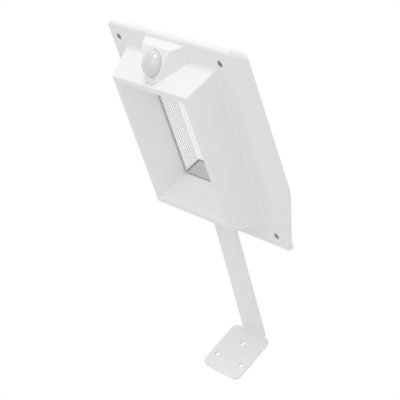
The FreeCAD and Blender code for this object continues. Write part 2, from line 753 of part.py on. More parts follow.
def tube(name, radius, bore, low, high):
    return cut(name, rod(name + "_outer", radius, f"{high} - ({low})", ("0", "0", low)),
               rod(name + "_bore", bore, f"{high} - ({low}) + 2", ("0", "0", f"{low} - 1")))


def sensor_dome():
    cap = fuse("dome_outer", dome_half("dome_cap", "dome_radius", "dome_height"),
               rod("dome_skirt_wall", "dome_radius", "flange_back + dome_skirt", ("0", "0", "-flange_back")),
               rod("dome_flange_disc", "dome_radius + dome_flange", "dome_flange_thickness",
                   ("0", "0", "-flange_back")))
    room = fuse("dome_room", dome_half("dome_cap_room", "dome_radius - dome_wall",
                                        "dome_height - dome_wall"),
                rod("dome_skirt_room", "dome_radius - dome_wall", "flange_back + dome_skirt + 1",
                    ("0", "0", "-flange_back - 1")))
    return cut("dome_shell", cap, room)


on_face("sensor_dome", sensor_dome())
on_face("sensor_holder", tube("holder", "dome_radius + dome_flange",
                              "dome_radius + dome_flange - holder_wall", "-holder_back", "-flange_back"))
on_face("sensor_board", rod("sensor_disc", "dome_radius + dome_flange", "sensor_board_thickness",
                            ("0", "0", "-holder_back - sensor_board_thickness")))
on_face("motion_detector", cut(
    "detector_cut", rod("detector_can", "detector_radius", "detector_height", ("0", "0", "-holder_back")),
    brick("detector_window_cut", ("-detector_window / 2", "detector_window / 2"),
          ("-detector_window / 2", "detector_window / 2"),
          ("-holder_back + detector_height - detector_window_depth", "-holder_back + detector_height + 1"))))


# Battery in its cradle over the lamp, lying across the housing
def battery():
    along = ("y", "90")
    left = "-(battery_length + battery_nub_length) / 2"
    return fuse("battery_can", rod("battery_barrel", "battery_radius", "battery_length",
                                   (left, "battery_up", "battery_out"), along),
                rod("battery_nub", "battery_nub_radius", "battery_nub_length",
                    (f"{left} + battery_length", "battery_up", "battery_out"), along))


def battery_cradle():
    half = "cradle_inside / 2 + cradle_end"
    side = "battery_radius + cradle_wall"
    block = brick("cradle_block", (f"-({half})", half), (f"battery_up - ({side})", f"battery_up + {side}"),
                  ("-floor_depth", "-floor_depth + cradle_height"))
    room = rod("cradle_room", "battery_radius + cell_play", "cradle_inside",
               ("-cradle_inside / 2", "battery_up", "battery_out + cell_play"), ("y", "90"))
    return cut("cradle_cut", block, room)


def battery_contacts():
    plates = []
    for number, low in enumerate(("-cradle_inside / 2", "cradle_inside / 2 - contact_thickness")):
        plates.append(brick(f"contact_plate_{number}", (low, f"{low} + contact_thickness"),
                            ("battery_up - contact_width / 2", "battery_up + contact_width / 2"),
                            ("battery_out - contact_height / 2", "battery_out + contact_height / 2")))
    return fuse("contact_plates", *plates)


piece("battery_cell", battery())
piece("battery_cradle", battery_cradle())
piece("battery_contacts", battery_contacts())


# Control board with its parts, on four posts of the tray
def control_board():
    sheet_block = brick("control_sheet", ("control_across", "control_end"),
                        ("-control_below", "control_above"), ("-control_board_back", "-control_board_front"))
    holes = [rod(f"control_hole_{number}", "board_screw_radius + 0.5 * running_gap",
                 "control_board_thickness + 2", (across, up, "-control_board_back - 1"))
             for number, (across, up) in enumerate(CONTROL_POSTS)]
    return cut("control_drilled", sheet_block, *holes)


def control_parts():
    top = "-control_board_front"
    parts = [brick("chip", ("control_middle - chip_length / 2", "control_middle + chip_length / 2"),
                   ("-chip_width / 2", "chip_width / 2"), (top, f"{top} + chip_height")),
             rod("coil", "coil_radius", "coil_height",
                 ("control_middle - chip_length / 2", "coil_up", top)),
             rod("capacitor", "coil_radius", "coil_height",
                 ("control_middle + chip_length / 2", "coil_up", top))]
    for number in range(len(IN_SOCKETS)):
        low = f"socket_start - control_below + {number} * socket_pitch"
        parts.append(brick(f"socket_{number}", ("socket_across", "socket_across + socket_width"),
                           (low, f"{low} + socket_length"), (top, f"{top} + socket_height")))
    return fuse("board_parts", *parts)


def control_screws():
    screws = []
    for number, (across, up) in enumerate(CONTROL_POSTS):
        screws.append(rod(f"control_screw_{number}", "board_screw_head_radius", "board_screw_head_height",
                          (across, up, "-control_board_front")))
        screws.append(rod(f"control_screw_shank_{number}", "board_screw_radius", "control_board_thickness",
                          (across, up, "-control_board_back")))
    return fuse("board_screws", *screws)


IN_SOCKETS = ("lamp_lead", "battery_lead", "sensor_lead")
piece("control_board", control_board())
piece("control_parts", control_parts())
piece("control_screws", control_screws())


# Push switch on the tray's lower slope, drawn with Z out through the wall
def on_slope(label, item):
    holder = doc.addObject("Part::Compound", label + "_on_slope")
    holder.Links = [item]
    place(holder, SWITCH_AT, ("x", "switch_turn"))
    return piece(label, holder)


on_slope("switch_button", fuse(
    "button_solid", rod("button_stem", "button_radius", "button_length", ("0", "0", "-switch_rest")),
    rod("button_rim", "button_radius + button_flange", "button_flange_thickness",
        ("0", "0", "-wall - running_gap - button_flange_thickness"))))
on_slope("switch_body", fuse(
    "switch_solid",
    brick("switch_block", ("-switch_body_width / 2", "switch_body_width / 2"),
          ("-switch_body_width / 2", "switch_body_width / 2"), ("-switch_board_top", "-switch_body_top")),
    rod("switch_pin", "switch_pin_radius", "switch_pin_height", ("0", "0", "-switch_body_top"))))
on_slope("switch_board", brick("switch_sheet", ("-switch_board_length / 2", "switch_board_length / 2"),
                               ("-switch_board_width / 2", "switch_board_width / 2"),
                               ("-switch_board_top - switch_board_thickness", "-switch_board_top")))


# Bracket: one strip with a wide foot, a bend, the arm, a second bend and a tab
def outline(body, name, corners):
    """A closed outline on the body's YZ plane, with each corner bound to formulas."""
    sketch = body.newObject("Sketcher::SketchObject", name)
    plane = next(item for item in body.Origin.OriginFeatures if item.Role == "YZ_Plane")
    sketch.AttachmentSupport = [(plane, "")]
    sketch.MapMode = "FlatFace"
    count = len(corners)
    turns = [Vector(math.cos(2 * math.pi * i / count), math.sin(2 * math.pi * i / count), 0) * 50
             for i in range(count)]
    for i in range(count):
        sketch.addGeometry(Part.LineSegment(turns[i], turns[(i + 1) % count]), False)
    for i in range(count):
        sketch.addConstraint(Sketcher.Constraint("Coincident", i, 2, (i + 1) % count, 1))
    for i, corner in enumerate(corners):
        for kind, text in zip(("DistanceX", "DistanceY"), corner):
            number = sketch.addConstraint(Sketcher.Constraint(kind, -1, 1, i, 1, 1.0 + i))
            sketch.setExpression(f"Constraints[{number}]", formula(text))
    return sketch


def bracket():
    half_thick = "strip_thickness / 2"
    foot_turn = ("foot_mitre * sin(foot_mitre_angle)", "foot_mitre * cos(foot_mitre_angle)")
    tab_turn = ("tab_mitre * sin(tab_mitre_angle)", "tab_mitre * cos(tab_mitre_angle)")
    tab_side = (f"{half_thick} * sin(tab_direction)", f"{half_thick} * cos(tab_direction)")
    body = doc.addObject("PartDesign::Body", "bracket_body")
    corners = {
        "wall_end": ("0", "-foot_length / 2"),
        "outer_foot_bend": (f"-{half_thick} + {foot_turn[0]}", f"bend_top - {foot_turn[1]}"),
        "outer_tab_bend": (f"tab_bend_y + {tab_turn[0]}", f"tab_bend_z - {tab_turn[1]}"),
        "tab_end_outside": (f"tab_end_y + {tab_side[0]}", f"tab_end_z - {tab_side[1]}"),
        "tab_end_inside": (f"tab_end_y - {tab_side[0]}", f"tab_end_z + {tab_side[1]}"),
        "inner_tab_bend": (f"tab_bend_y - {tab_turn[0]}", f"tab_bend_z + {tab_turn[1]}"),
        "inner_foot_bend": (f"-{half_thick} - {foot_turn[0]}", f"bend_top + {foot_turn[1]}"),
        "front_end": ("-strip_thickness", "-foot_length / 2"),
    }
    profile = outline(body, "bracket_profile", list(corners.values()))
    strip = body.newObject("PartDesign::Pad", "bracket_strip")
    strip.Profile = profile
    strip.Midplane = True
    bind(strip, Length="strip_width")
    body.Tip = strip
    doc.recompute()
    for side, radius in (("inner", "strip_bend"), ("outer", "strip_bend + strip_thickness")):
        bends = [profile.Geometry[number].StartPoint for number, corner in enumerate(corners)
                 if corner.startswith(side)]
        fold(body, side + "_bends", radius, bends)

    foot = body.newObject("PartDesign::AdditiveBox", "foot_plate")
    bind(foot, Length="foot_width", Width="strip_thickness", Height="foot_length - foot_shoulder")
    place(foot, ("-foot_width / 2", "-strip_thickness", "-foot_length / 2"))
    body.Tip = foot
    doc.recompute()
    half = SIZES["foot_width"] / 2
    upright = [f"Edge{number}" for number, edge in enumerate(foot.Shape.Edges, start=1)
               if all(near(abs(end.Point.x), half) for end in edge.Vertexes)
               and near(edge.Length, SIZES["strip_thickness"])]
    rounding = body.newObject("PartDesign::Fillet", "foot_corners")
    rounding.Base = (foot, upright)
    bind(rounding, Radius="foot_corner")
    body.Tip = rounding

    for number, (across, up) in enumerate((("-foot_hole_spread / 2", "-foot_hole_below"),
                                           ("foot_hole_spread / 2", "-foot_hole_below"),
                                           ("0", "foot_hole_above"))):
        drill(body, f"foot_hole_{number}", "foot_hole_radius", (across, "0", up), "90")
    for number, across in enumerate(BOLTS_ACROSS):
        drill(body, f"tab_hole_{number}", "bolt_hole_radius", (across, "bolt_y", "bolt_z"), "tab_direction")
    return body


def fold(body, name, radius, corners):
    """Bend the strip where its outline turns: round the edges that run across it there."""
    base = body.Tip
    edges = [f"Edge{number}" for number, edge in enumerate(base.Shape.Edges, start=1)
             if any(all(near(end.Point.y, corner.x) and near(end.Point.z, corner.y) for end in edge.Vertexes)
                    for corner in corners)]
    bend = body.newObject("PartDesign::Fillet", name)
    bend.Base = (base, edges)
    bind(bend, Radius=radius)
    body.Tip = bend
    doc.recompute()


def drill(body, name, radius, at, turn):
    """A hole right through the strip, along the Z of a frame turned about X."""
    hole = body.newObject("PartDesign::SubtractiveCylinder", name)
    depth = "4 * strip_thickness"
    bind(hole, Radius=radius, Height=depth)
    lift = f"{depth} / 2"
    place(hole, (at[0], f"{at[1]} + {lift} * sin({turn})", f"{at[2]} - {lift} * cos({turn})"), ("x", turn))
    body.Tip = hole


piece("bracket_strip", bracket(), seat="wall")


# Bolts through the tab and the shade's lower wall, with washers outside and nuts inside
def on_tab(name, item, across):
    """Seat a piece on the shade's lower wall, with Z out through the tab."""
    holder = doc.addObject("Part::Compound", name + "_on_tab")
    holder.Links = [item]
    place(holder, (across, "bolt_up", "bolt_out"), ("x", "wall_lean"))
    return holder


def prism(name, across_flats, height, low):
    item = doc.addObject("Part::Prism", name)
    bind(item, Circumradius=f"{across_flats} / 2 / cos(30)", Height=height)
    place(item, ("0", "0", low))
    return item


def bracket_bolt(number):
    head = cut(f"bolt_head_{number}",
               rod(f"bolt_head_disc_{number}", "bolt_head_radius", "bolt_head_height",
                   ("0", "0", "bolt_head_seat")),
               prism(f"bolt_drive_{number}", "bolt_drive", "bolt_head_height",
                     "bolt_head_seat + bolt_head_height / 2"))
    shank = rod(f"bolt_shank_{number}", "bolt_radius",
                "bolt_head_seat + bolt_grip + nut_thickness + bolt_end",
                ("0", "0", "-bolt_grip - nut_thickness - bolt_end"))
    return fuse(f"bolt_{number}", head, shank)


def bracket_washer(number):
    return tube(f"washer_{number}", "washer_radius", "bolt_hole_radius", "strip_thickness",
                "strip_thickness + washer_thickness")


def bracket_nut(number):
    return cut(f"nut_{number}", prism(f"nut_block_{number}", "nut_flats", "nut_thickness",
                                      "-bolt_grip - nut_thickness"),
               rod(f"nut_bore_{number}", "bolt_radius + 0.25 * running_gap", "2 * nut_thickness",
                   ("0", "0", "-bolt_grip - 1.5 * nut_thickness")))


for label, make in (("bracket_bolts", bracket_bolt), ("bracket_washers", bracket_washer),
                    ("bracket_nuts", bracket_nut)):
    pair = [on_tab(f"{label}_{number}", make(number), across)
            for number, across in enumerate(BOLTS_ACROSS)]
    group = doc.addObject("Part::Compound", label + "_group")
    group.Links = pair
    piece(label, group)


# Leads: round wires whose straight runs are joined by tangent arcs
def lead(label, route):
    marks = []
    for number, spot in enumerate(route):
        mark = doc.addObject("Part::Vertex", f"{label}_{number}")
        bind(mark, X=spot[0], Y=spot[1], Z=spot[2])
        marks.append(mark)
    doc.recompute()
    points = [Vector(mark.X.Value, mark.Y.Value, mark.Z.Value) for mark in marks]
    edges = []
    start = points[0]
    for before, corner, after in zip(points, points[1:], points[2:]):
        way_in = (corner - before).normalize()
        way_out = (after - corner).normalize()
        cut_back = 0.45 * min(before.distanceToPoint(corner), after.distanceToPoint(corner))
        turn = way_in.getAngle(way_out)
        radius = cut_back / math.tan(turn / 2)
        print(label, "bend radius", round(radius, 1))
        arc_start = corner - way_in * cut_back
        arc_end = corner + way_out * cut_back
        centre = corner + (way_out - way_in).normalize() * radius / math.cos(turn / 2)
        middle = centre + (corner - centre).normalize() * radius
        edges.append(Part.LineSegment(start, arc_start).toShape())
        edges.append(Part.Arc(arc_start, middle, arc_end).toShape())
        start = arc_end
    edges.append(Part.LineSegment(start, points[-1]).toShape())
    path = Part.Wire(edges)
    ring = Part.Wire(Part.Circle(points[0], points[1] - points[0], SIZES["lead_radius"]).toShape())
    item = doc.addObject("Part::Feature", label + "_tube")
    item.Shape = path.makePipeShell([ring], True, False)
    holder = doc.addObject("Part::Compound", label + "_run")
    holder.Links = [item]
    return piece(label, holder)


def into_socket(label):
    """The last two points of a lead: level with its socket, then at the socket's face."""
    number = IN_SOCKETS.index(label)
    up = f"socket_start - control_below + {number} * socket_pitch + socket_length / 2"
    return [("socket_across - lead_run_in", up, "socket_line"), ("socket_across", up, "socket_line")]


def off_sensor_board(depth):
    """A point behind the sensor board, along its own normal."""
    return ("sensor_lead_across", f"dome_up - (sensor_stack + {depth}) * sin(sensor_face_lean)",
            f"dome_out - (sensor_stack + {depth}) * cos(sensor_face_lean)")


lead("lamp_lead", [
    ("lamp_board_half - 2 * lead_radius", "-control_below / 2", "-lamp_back"),
    ("lamp_board_half - 2 * lead_radius", "-control_below / 2", "-lamp_back + lead_run_in"),
    ("control_across + lead_run_in", "socket_start - control_below", "socket_line + lead_radius"),
    *into_socket("lamp_lead")])
lead("battery_lead", [
    ("cradle_inside / 2", "battery_up", "battery_out + 2 * lead_radius"),
    ("cradle_inside / 2 + lead_run_in", "battery_up", "battery_out + 2 * lead_radius"),
    ("control_middle - chip_length", "battery_up - 2 * battery_radius", "-floor_depth / 2"),
    ("control_middle - chip_length", "-chip_width", "socket_line + chip_height"),
    *into_socket("battery_lead")])
lead("sensor_lead", [
    off_sensor_board("0"),
    off_sensor_board("lead_run_in"),
    ("2 * sensor_lead_across", "battery_up + 2 * lead_radius", "over_battery"),
    ("cradle_inside / 2", "battery_up", "over_battery"),
    ("control_middle - chip_length - coil_radius", "battery_up - battery_radius", "under_plate"),
    ("control_middle + chip_length / 2", "battery_up - 2 * battery_radius", "under_plate"),
    ("control_middle + chip_length / 2", "-chip_width", "socket_line + 2 * chip_height"),
    *into_socket("sensor_lead")])
lead("panel_lead", [
    ("control_middle", "panel_lead_up", "-housing_depth + panel_depth - pad_thickness"),
    ("control_middle", "panel_lead_up", "-control_board_front + lead_run_in"),
    ("control_middle", "control_above - post_inset", "-control_board_front + 1.5 * lead_run_in"),
    ("control_middle", "control_above - post_inset", "-control_board_front")])

doc.recompute()
failed = [item.Name for item in doc.Objects if "Invalid" in item.State or "Error" in item.State]
if failed:
    raise SystemExit("these objects failed: " + ", ".join(failed))
for label, item in PIECES.items():
    if item.Shape.isNull() or not item.Shape.isValid():
        raise SystemExit(label + " has no valid shape")
for label, item in PIECES.items():
    item.Shape.exportStep("parts/" + label + ".step")
    print(label, len(item.Shape.Solids), round(item.Shape.Volume, 1))
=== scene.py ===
import json
import math
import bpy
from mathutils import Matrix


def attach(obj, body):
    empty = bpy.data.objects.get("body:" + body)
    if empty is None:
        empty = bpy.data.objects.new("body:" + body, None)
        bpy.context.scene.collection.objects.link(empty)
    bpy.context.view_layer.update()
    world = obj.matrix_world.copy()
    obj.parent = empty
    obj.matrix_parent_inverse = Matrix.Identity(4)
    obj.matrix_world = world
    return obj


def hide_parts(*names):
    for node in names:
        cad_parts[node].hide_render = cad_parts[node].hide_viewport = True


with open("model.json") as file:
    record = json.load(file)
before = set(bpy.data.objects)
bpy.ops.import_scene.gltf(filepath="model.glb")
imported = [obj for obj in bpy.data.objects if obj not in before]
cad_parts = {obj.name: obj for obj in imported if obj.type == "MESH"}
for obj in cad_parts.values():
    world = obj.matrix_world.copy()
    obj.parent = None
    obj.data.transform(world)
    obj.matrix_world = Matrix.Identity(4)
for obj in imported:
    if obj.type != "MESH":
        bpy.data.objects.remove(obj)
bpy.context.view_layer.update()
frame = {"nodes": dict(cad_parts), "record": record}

from types import SimpleNamespace

import bmesh
import bpy
from bpy.props import FloatProperty, FloatVectorProperty, IntProperty, PointerProperty
from mathutils import Matrix, Vector

bl_info = {
    "name": "Solar sensor light",
    "version": (1, 0, 0),
    "blender": (4, 5, 0),
    "location": "View3D > Sidebar > Sensor light",
    "description": "Dresses a wall light with a solar panel, a shaded lamp and a motion sensor",
    "category": "Object",
}

MM = 0.001
LEVEL = 0.02  # points that differ by less, in millimetres, are level
WHITE = (1, 1, 1)


# Axes of the light's sloping parts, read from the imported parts
def flat_normal(node, towards):
    """The normal of a CAD node's largest face, on the side that looks towards a direction."""
    mesh = frame["nodes"][node].data
    normal = max(mesh.polygons, key=lambda polygon: polygon.area).normal.copy()
    return normal if normal.dot(towards) > 0 else -normal


def axes_along(normal):
    """Axes whose Z is the normal and whose X is the shared frame's X."""
    across = Vector((1, 0, 0))
    return Matrix((across, normal.cross(across), normal)).transposed()


# X across, Y up along the plate, Z out of its front; the other two follow the sensor and the bracket's tab
HOUSING_AXES = axes_along(flat_normal("solar_glass", Vector((0, 0, -1))))
SENSOR_AXES = axes_along(flat_normal("sensor_board", HOUSING_AXES.col[2]))
TAB_AXES = axes_along(flat_normal("bracket_washers", Vector((0, 1, -1))))


class Seat:
    """Where a CAD node lies along some axes, in metres, and its size along them, in millimetres."""

    def __init__(self, node, axes):
        self.axes = axes
        self.points = [axes.transposed() @ vertex.co for vertex in frame["nodes"][node].data.vertices]
        self.low = Vector([min(point[axis] for point in self.points) for axis in range(3)])
        self.high = Vector([max(point[axis] for point in self.points) for axis in range(3)])
        self.width, self.height, self.depth = [(high - low) / MM for low, high in zip(self.low, self.high)]

    def middle(self, level):
        """The middle of the node across and up, at a level along Z."""
        middle = (self.low + self.high) / 2
        middle.z = level
        return middle

    def frame_at(self, level):
        """A matrix that takes millimetres about the middle to metres in the shared frame."""
        return Matrix.Translation(self.axes @ self.middle(level)) @ self.axes.to_4x4() @ Matrix.Scale(MM, 4)

    def points_about(self, level):
        """The node's points about the middle, in millimetres."""
        middle = self.middle(level)
        return [(point - middle) / MM for point in self.points]

    def two_across(self, half_width):
        """The centres of two like pieces that stand side by side."""
        spread = self.width / 2 - half_width
        return (-spread, 0), (spread, 0)


# Sizes and colours
def size(name, default, description):
    return FloatProperty(name=name, default=default * MM, unit="LENGTH", description=description)


def shade(name, default, description):
    return FloatVectorProperty(name=name, default=default, subtype="COLOR", size=3, min=0, max=1,
                               description=description)


def slot_colour(slot):
    """The record's base colour of a material slot."""
    return next(item for item in frame["record"]["materials"] if item["slot"] == slot)["base_color"][:3]


class StageSettings(bpy.types.PropertyGroup):
    """Camera, lamps, floor and world."""
    floor_drop: FloatProperty(name="Floor drop", default=1.3, unit="LENGTH",
                              description="How far the floor lies under the bracket's foot")
    camera_place: FloatVectorProperty(name="Camera place", default=(0.93645, -0.85742, -0.30059),
                                      subtype="TRANSLATION", description="Where the camera stands")
    camera_target: FloatVectorProperty(name="Camera target", default=(0.08841, -0.20834, 0.01989),
                                       subtype="TRANSLATION", description="What the camera looks at")
    camera_roll: FloatProperty(name="Camera roll", default=math.radians(42.048), subtype="ANGLE",
                               description="How far the camera's top is turned to its right")
    lens: FloatProperty(name="Lens", default=135.24, description="Focal length for a 36 mm sensor, in mm")
    world_light: FloatProperty(name="World light", default=0.8,
                               description="Strength of the even light all round")
    key_light: FloatProperty(name="Key light", default=6.4, unit="POWER", description="Power of the upper lamp")
    front_light: FloatProperty(name="Front light", default=3.0, unit="POWER",
                               description="Power of the lower lamp, which shines into the shade")


class CoverSettings(bpy.types.PropertyGroup):
    """Moulded covers and their screws."""
    white: shade("White", slot_colour("white_plastic"), "Colour of the moulded plastic")
    # Painted light: a whiter copy of the plastic for the shade's inner walls, lifting the shade that falls there;
    # the two sizes below bound where it goes
    inner_white: shade("Inner white", (0.94, 0.94, 0.94), "Colour of the plastic on the shade's inner walls")
    mouth_half_width: size("Mouth half width", 44.95, "Half the width that the shade's inner walls take up")
    mouth_half_height: size("Mouth half height", 56.45, "Half the height that the shade's inner walls take up")
    grain_height: size("Grain height", 0.02, "Height of the moulded surface grain")
    screw_head_radius: size("Screw head radius", 2.7, "Radius of a housing screw's head")
    screw_head_height: size("Screw head height", 1.1, "Height of a housing screw's head")
    screw_shank_radius: size("Screw shank radius", 1.4, "Radius of a housing screw's shank")
    screw_shank_length: size("Screw shank length", 5.4, "Length of a housing screw's shank")
    thread_pitch: size("Thread pitch", 1.1, "Pitch of a housing screw's thread")


class SensorSettings(bpy.types.PropertyGroup):
    """Motion sensor dome."""
    dome_radius: size("Dome radius", 10.8, "Radius of the dome at the sloping face")
    dome_height: size("Dome height", 6.7, "Height of the dome over its skirt")
    dome_wall: size("Dome wall", 1.0, "Thickness of the dome")
    facet_depth: size("Facet depth", 0.16, "Depth of the grooves between the dome's lens facets")
    milk: shade("Milk", slot_colour("milky_dome"), "Colour of the dome")


class LampSettings(bpy.types.PropertyGroup):
    """Lens sheet in the lamp's mouth."""
    cell_pitch: size("Cell pitch", 1.8, "Distance between the lens sheet's cells")
    cell_height: size("Cell height", 0.42, "Height of a cell over the sheet")
    sheet_thickness: size("Sheet thickness", 0.8, "Thickness of the lens sheet")
    edge_margin: size("Edge margin", 0.05, "Plain margin along the lens sheet's edges")
    # Painted shade: the clear sheet's web is dark grey, standing in for the shade between the cells
    web_colour: shade("Web", (0.33, 0.33, 0.33), "Colour of the sheet between its cells")
    cell_colour: shade("Cells", slot_colour("lens_clear"), "Colour of the cells")


class PanelSettings(bpy.types.PropertyGroup):
    """Solar panel."""
    columns: IntProperty(name="Columns", default=6, min=1, description="Cells across the panel")
    rows: IntProperty(name="Rows", default=2, min=1, description="Cells up the panel")
    fingers: IntProperty(name="Fingers", default=22, min=1, description="Silver fingers across each cell")
    cell_gap: size("Cell gap", 1.6, "Gap between two solar cells")
    corner: size("Corner cut", 2.2, "Cut across each cell's corners")
    bar_width: size("Bar width", 1.1, "Width of a silver bar along a cell")
    finger_width: size("Finger width", 0.12, "Width of a silver finger across a cell")


class BracketSettings(bpy.types.PropertyGroup):
    """Folded bracket and its bolts."""
    thickness: size("Thickness", 2.0, "Thickness of the steel sheet")
    strip_width: size("Strip width", 29.2, "Width of the arm and the tab")
    bend_radius: size("Bend radius", 2.0, "Inner radius of both bends")
    foot_width: size("Foot width", 48.2, "Width of the foot")
    foot_length: size("Foot length", 47.8, "Length of the foot up to the bend's corner")
    foot_corner: size("Foot corner", 6.0, "Radius of the foot's corners")
    shoulder: size("Shoulder", 1.8, "How far the foot's shoulders lie under the bend's corner")
    hole_radius: size("Hole radius", 2.4, "Radius of the foot's screw holes")
    hole_spread: size("Hole spread", 32.0, "Distance between the two lower holes")
    holes_below: size("Holes below", 10.5, "How far the two lower holes lie under the foot's centre")
    hole_above: size("Hole above", 8.2, "How far the upper hole lies over the foot's centre")
    arm_length: size("Arm length", 122.1, "Length of the arm between the bends' corners")
    arm_rise: FloatProperty(name="Arm rise", default=math.radians(18.7), subtype="ANGLE",
                            description="How steeply the arm climbs from the wall")
    tab_length: size("Tab length", 24.0, "Length of the tab from the bend's corner")
    bolt_along_tab: size("Bolts along the tab", 13.5, "Distance from the bend's corner to the bolts")
    bolt_hole_radius: size("Bolt hole radius", 2.2, "Radius of the tab's two holes")
    edge_round: size("Edge round", 0.45, "Rounding of the cut edges under the paint")
    paint: shade("Paint", slot_colour("white_paint"), "Colour of the powder coat")


class LightSettings(bpy.types.PropertyGroup):
    """All settings of the light."""
    stage: PointerProperty(type=StageSettings)
    cover: PointerProperty(type=CoverSettings)
    sensor: PointerProperty(type=SensorSettings)
    lamp: PointerProperty(type=LampSettings)
    panel: PointerProperty(type=PanelSettings)
    bracket: PointerProperty(type=BracketSettings)


def settings():
    return bpy.context.scene.sensor_light


def millimetres(group):
    """The lengths of a group of settings, in millimetres."""
    return SimpleNamespace(**{item.identifier: getattr(group, item.identifier) / MM
                              for item in group.bl_rna.properties if getattr(item, "unit", "") == "LENGTH"})


# Shader maths in Python
class Socket:
    """A shader value that takes part in Python expressions by adding Math nodes."""

    def __init__(self, nodes, output):
        self.nodes = nodes
        self.output = output

    def _with(self, operation, *values):
        return self.nodes.node("ShaderNodeMath", {"operation": operation}, dict(enumerate(values)))

    def __add__(self, other):
        return self._with("ADD", self, other)

    def __sub__(self, other):
        return self._with("SUBTRACT", self, other)

    def __rsub__(self, other):
        return self._with("SUBTRACT", other, self)

    def __mul__(self, other):
        return self._with("MULTIPLY", self, other)

    __radd__ = __add__
    __rmul__ = __mul__

    def __lt__(self, other):
        return self._with("LESS_THAN", self, other)

    def __abs__(self):
        return self._with("ABSOLUTE", self)

    def at_least(self, other):
        return self._with("MAXIMUM", self, other)

    def at_most(self, other):
        return self._with("MINIMUM", self, other)


class Nodes:
    """A node tree that is built from Python expressions."""

    def __init__(self, tree):
        self.tree = tree
        tree.nodes.clear()

    def node(self, kind, choices=None, inputs=None, output=0):
        """Add a node, set its choices, then feed its sockets with values or links."""
        node = self.tree.nodes.new(kind)
        for name, value in (choices or {}).items():
            setattr(node, name, value)
        for name, value in (inputs or {}).items():
            if isinstance(value, Socket):
                self.tree.links.new(value.output, node.inputs[name])
            else:
                node.inputs[name].default_value = value
        return Socket(self, node.outputs[output]) if node.outputs else None

    def either(self, factor, first, second):
        """One shader turning into another."""
        return self.node("ShaderNodeMixShader", None, {0: factor, 1: first, 2: second})

    def looked_at(self):
        """1 where the camera, gloss or glass looks, and 0 where light only passes on."""
        camera, gloss, glass = [self.node("ShaderNodeLightPath", output=ray) for ray in
                                ("Is Camera Ray", "Is Glossy Ray", "Is Transmission Ray")]
        return camera.at_least(gloss).at_least(glass)


class Finish(Nodes):
    """A procedural material and the nodes that it is made of."""

    def __init__(self, name):
        self.material = bpy.data.materials.new(name + "_finish")
        self.material.use_nodes = True
        super().__init__(self.material.node_tree)

    def places(self):
        """Each point's place on the object, in metres."""
        return self.node("ShaderNodeTexCoord", output="Object")

    def along(self, axis):
        """How far each point lies along an axis, in metres."""
        return self.node("ShaderNodeVectorMath", {"operation": "DOT_PRODUCT"},
                         {0: self.places(), 1: tuple(axis)}, output="Value")

    def noise(self, scale, detail=3.0, stretch=(1, 1, 1)):
        places = self.node("ShaderNodeVectorMath", {"operation": "MULTIPLY"}, {0: self.places(), 1: stretch})
        return self.node("ShaderNodeTexNoise", None, {"Vector": places, "Scale": scale, "Detail": detail})

    def bump(self, height, distance):
        """A relief as high as a distance in millimetres."""
        return self.node("ShaderNodeBump", None, {"Height": height, "Distance": distance * MM})

    def mixed(self, factor, first, second):
        """One colour turning into another; a Mix node's colours are its inputs 6 and 7 and its output 2."""
        first, second = [value if isinstance(value, Socket) else (*value, 1) for value in (first, second)]
        return self.node("ShaderNodeMix", {"data_type": "RGBA"}, {0: factor, 6: first, 7: second}, output=2)

    def tinted(self, colour, spread, scale):
        """A colour that is a little darker here and there."""
        return self.mixed(self.noise(scale), colour, share_of(colour, 1 - spread))

    def surface(self, inputs):
        """Finish the material with one Principled shader."""
        return self.ended(self.node("ShaderNodeBsdfPrincipled", None, inputs))

    def ended(self, shader):
        """Finish the material with any shader."""
        self.node("ShaderNodeOutputMaterial", None, {"Surface": shader})
        return self.material


def share_of(colour, share):
    return [channel * share for channel in colour]


def grained(name, colour, patches, roughness, grain, relief, more=None):
    """A finish that is darker in patches, and whose roughness and relief follow one fine grain."""
    finish = Finish(name)
    grain = finish.noise(*grain)
    return finish.surface({
        "Base Color": finish.tinted(colour, *patches),
        "Roughness": roughness[0] + grain * roughness[1],
        "Normal": finish.bump(grain, relief)} | (more or {}))


# Finishes in their slots' own colours: depth and scale of the patches, lowest roughness and its spread,
# scale, detail and stretch of the grain, and the relief's height in millimetres
GRAINED = {
    "seal_rubber": dict(patches=(0.3, 400), roughness=(0.75, 0.15), grain=(700, 4), relief=0.03),
    "panel_backing": dict(patches=(0.05, 50), roughness=(0.5, 0.1), grain=(900, 2), relief=0.01),
    "diode_yellow": dict(patches=(0.15, 900), roughness=(0.3, 0.2), grain=(1800,), relief=0.01),
    "inner_black": dict(patches=(0.12, 200), roughness=(0.45, 0.12), grain=(1200,), relief=0.02),
    "cell_sleeve": dict(patches=(0.12, 200), roughness=(0.22, 0.12), grain=(500,), relief=0.02),
    "button_grey": dict(patches=(0.12, 200), roughness=(0.6, 0.12), grain=(1600,), relief=0.02),
    "lead_sleeve": dict(patches=(0.12, 200), roughness=(0.35, 0.12), grain=(900,), relief=0.02),
    "contact_brass": dict(patches=(0.2, 500), roughness=(0.25, 0.2), grain=(1500, 3, (0.2, 1, 1)), relief=0.01,
                          more={"Metallic": 1.0}),
}


def white_plastic(slot):
    """Moulded white plastic: a fine spark grain, a soft sheen, and painted light: whiter walls inside the shade,
    lifting their shade.
    """
    finish = Finish(slot)
    cover = settings().cover
    middle = Seat("front_cover", HOUSING_AXES).middle(0)
    # Mask of the painted light: points inside the shade's mouth, across and up
    across = abs(finish.along(HOUSING_AXES.col[0])) < cover.mouth_half_width
    upright = abs(finish.along(HOUSING_AXES.col[1]) - middle.y) < cover.mouth_half_height
    outside = finish.tinted(cover.white, 0.02, 25)
    inside = finish.tinted(cover.inner_white, 0.015, 25)
    grain = finish.noise(1500, 4)
    flow = finish.noise(18, 2)
    return finish.surface({
        # Inside the mask the colour is the whiter painted-light copy
        "Base Color": finish.mixed(across * upright, outside, inside),
        "Roughness": 0.4 + flow * 0.08 + grain * 0.05,
        "Coat Roughness": 0.35,
        "Coat Weight": 0.05 + flow * 0.05,
        "Normal": finish.bump(grain, cover.grain_height / MM)})


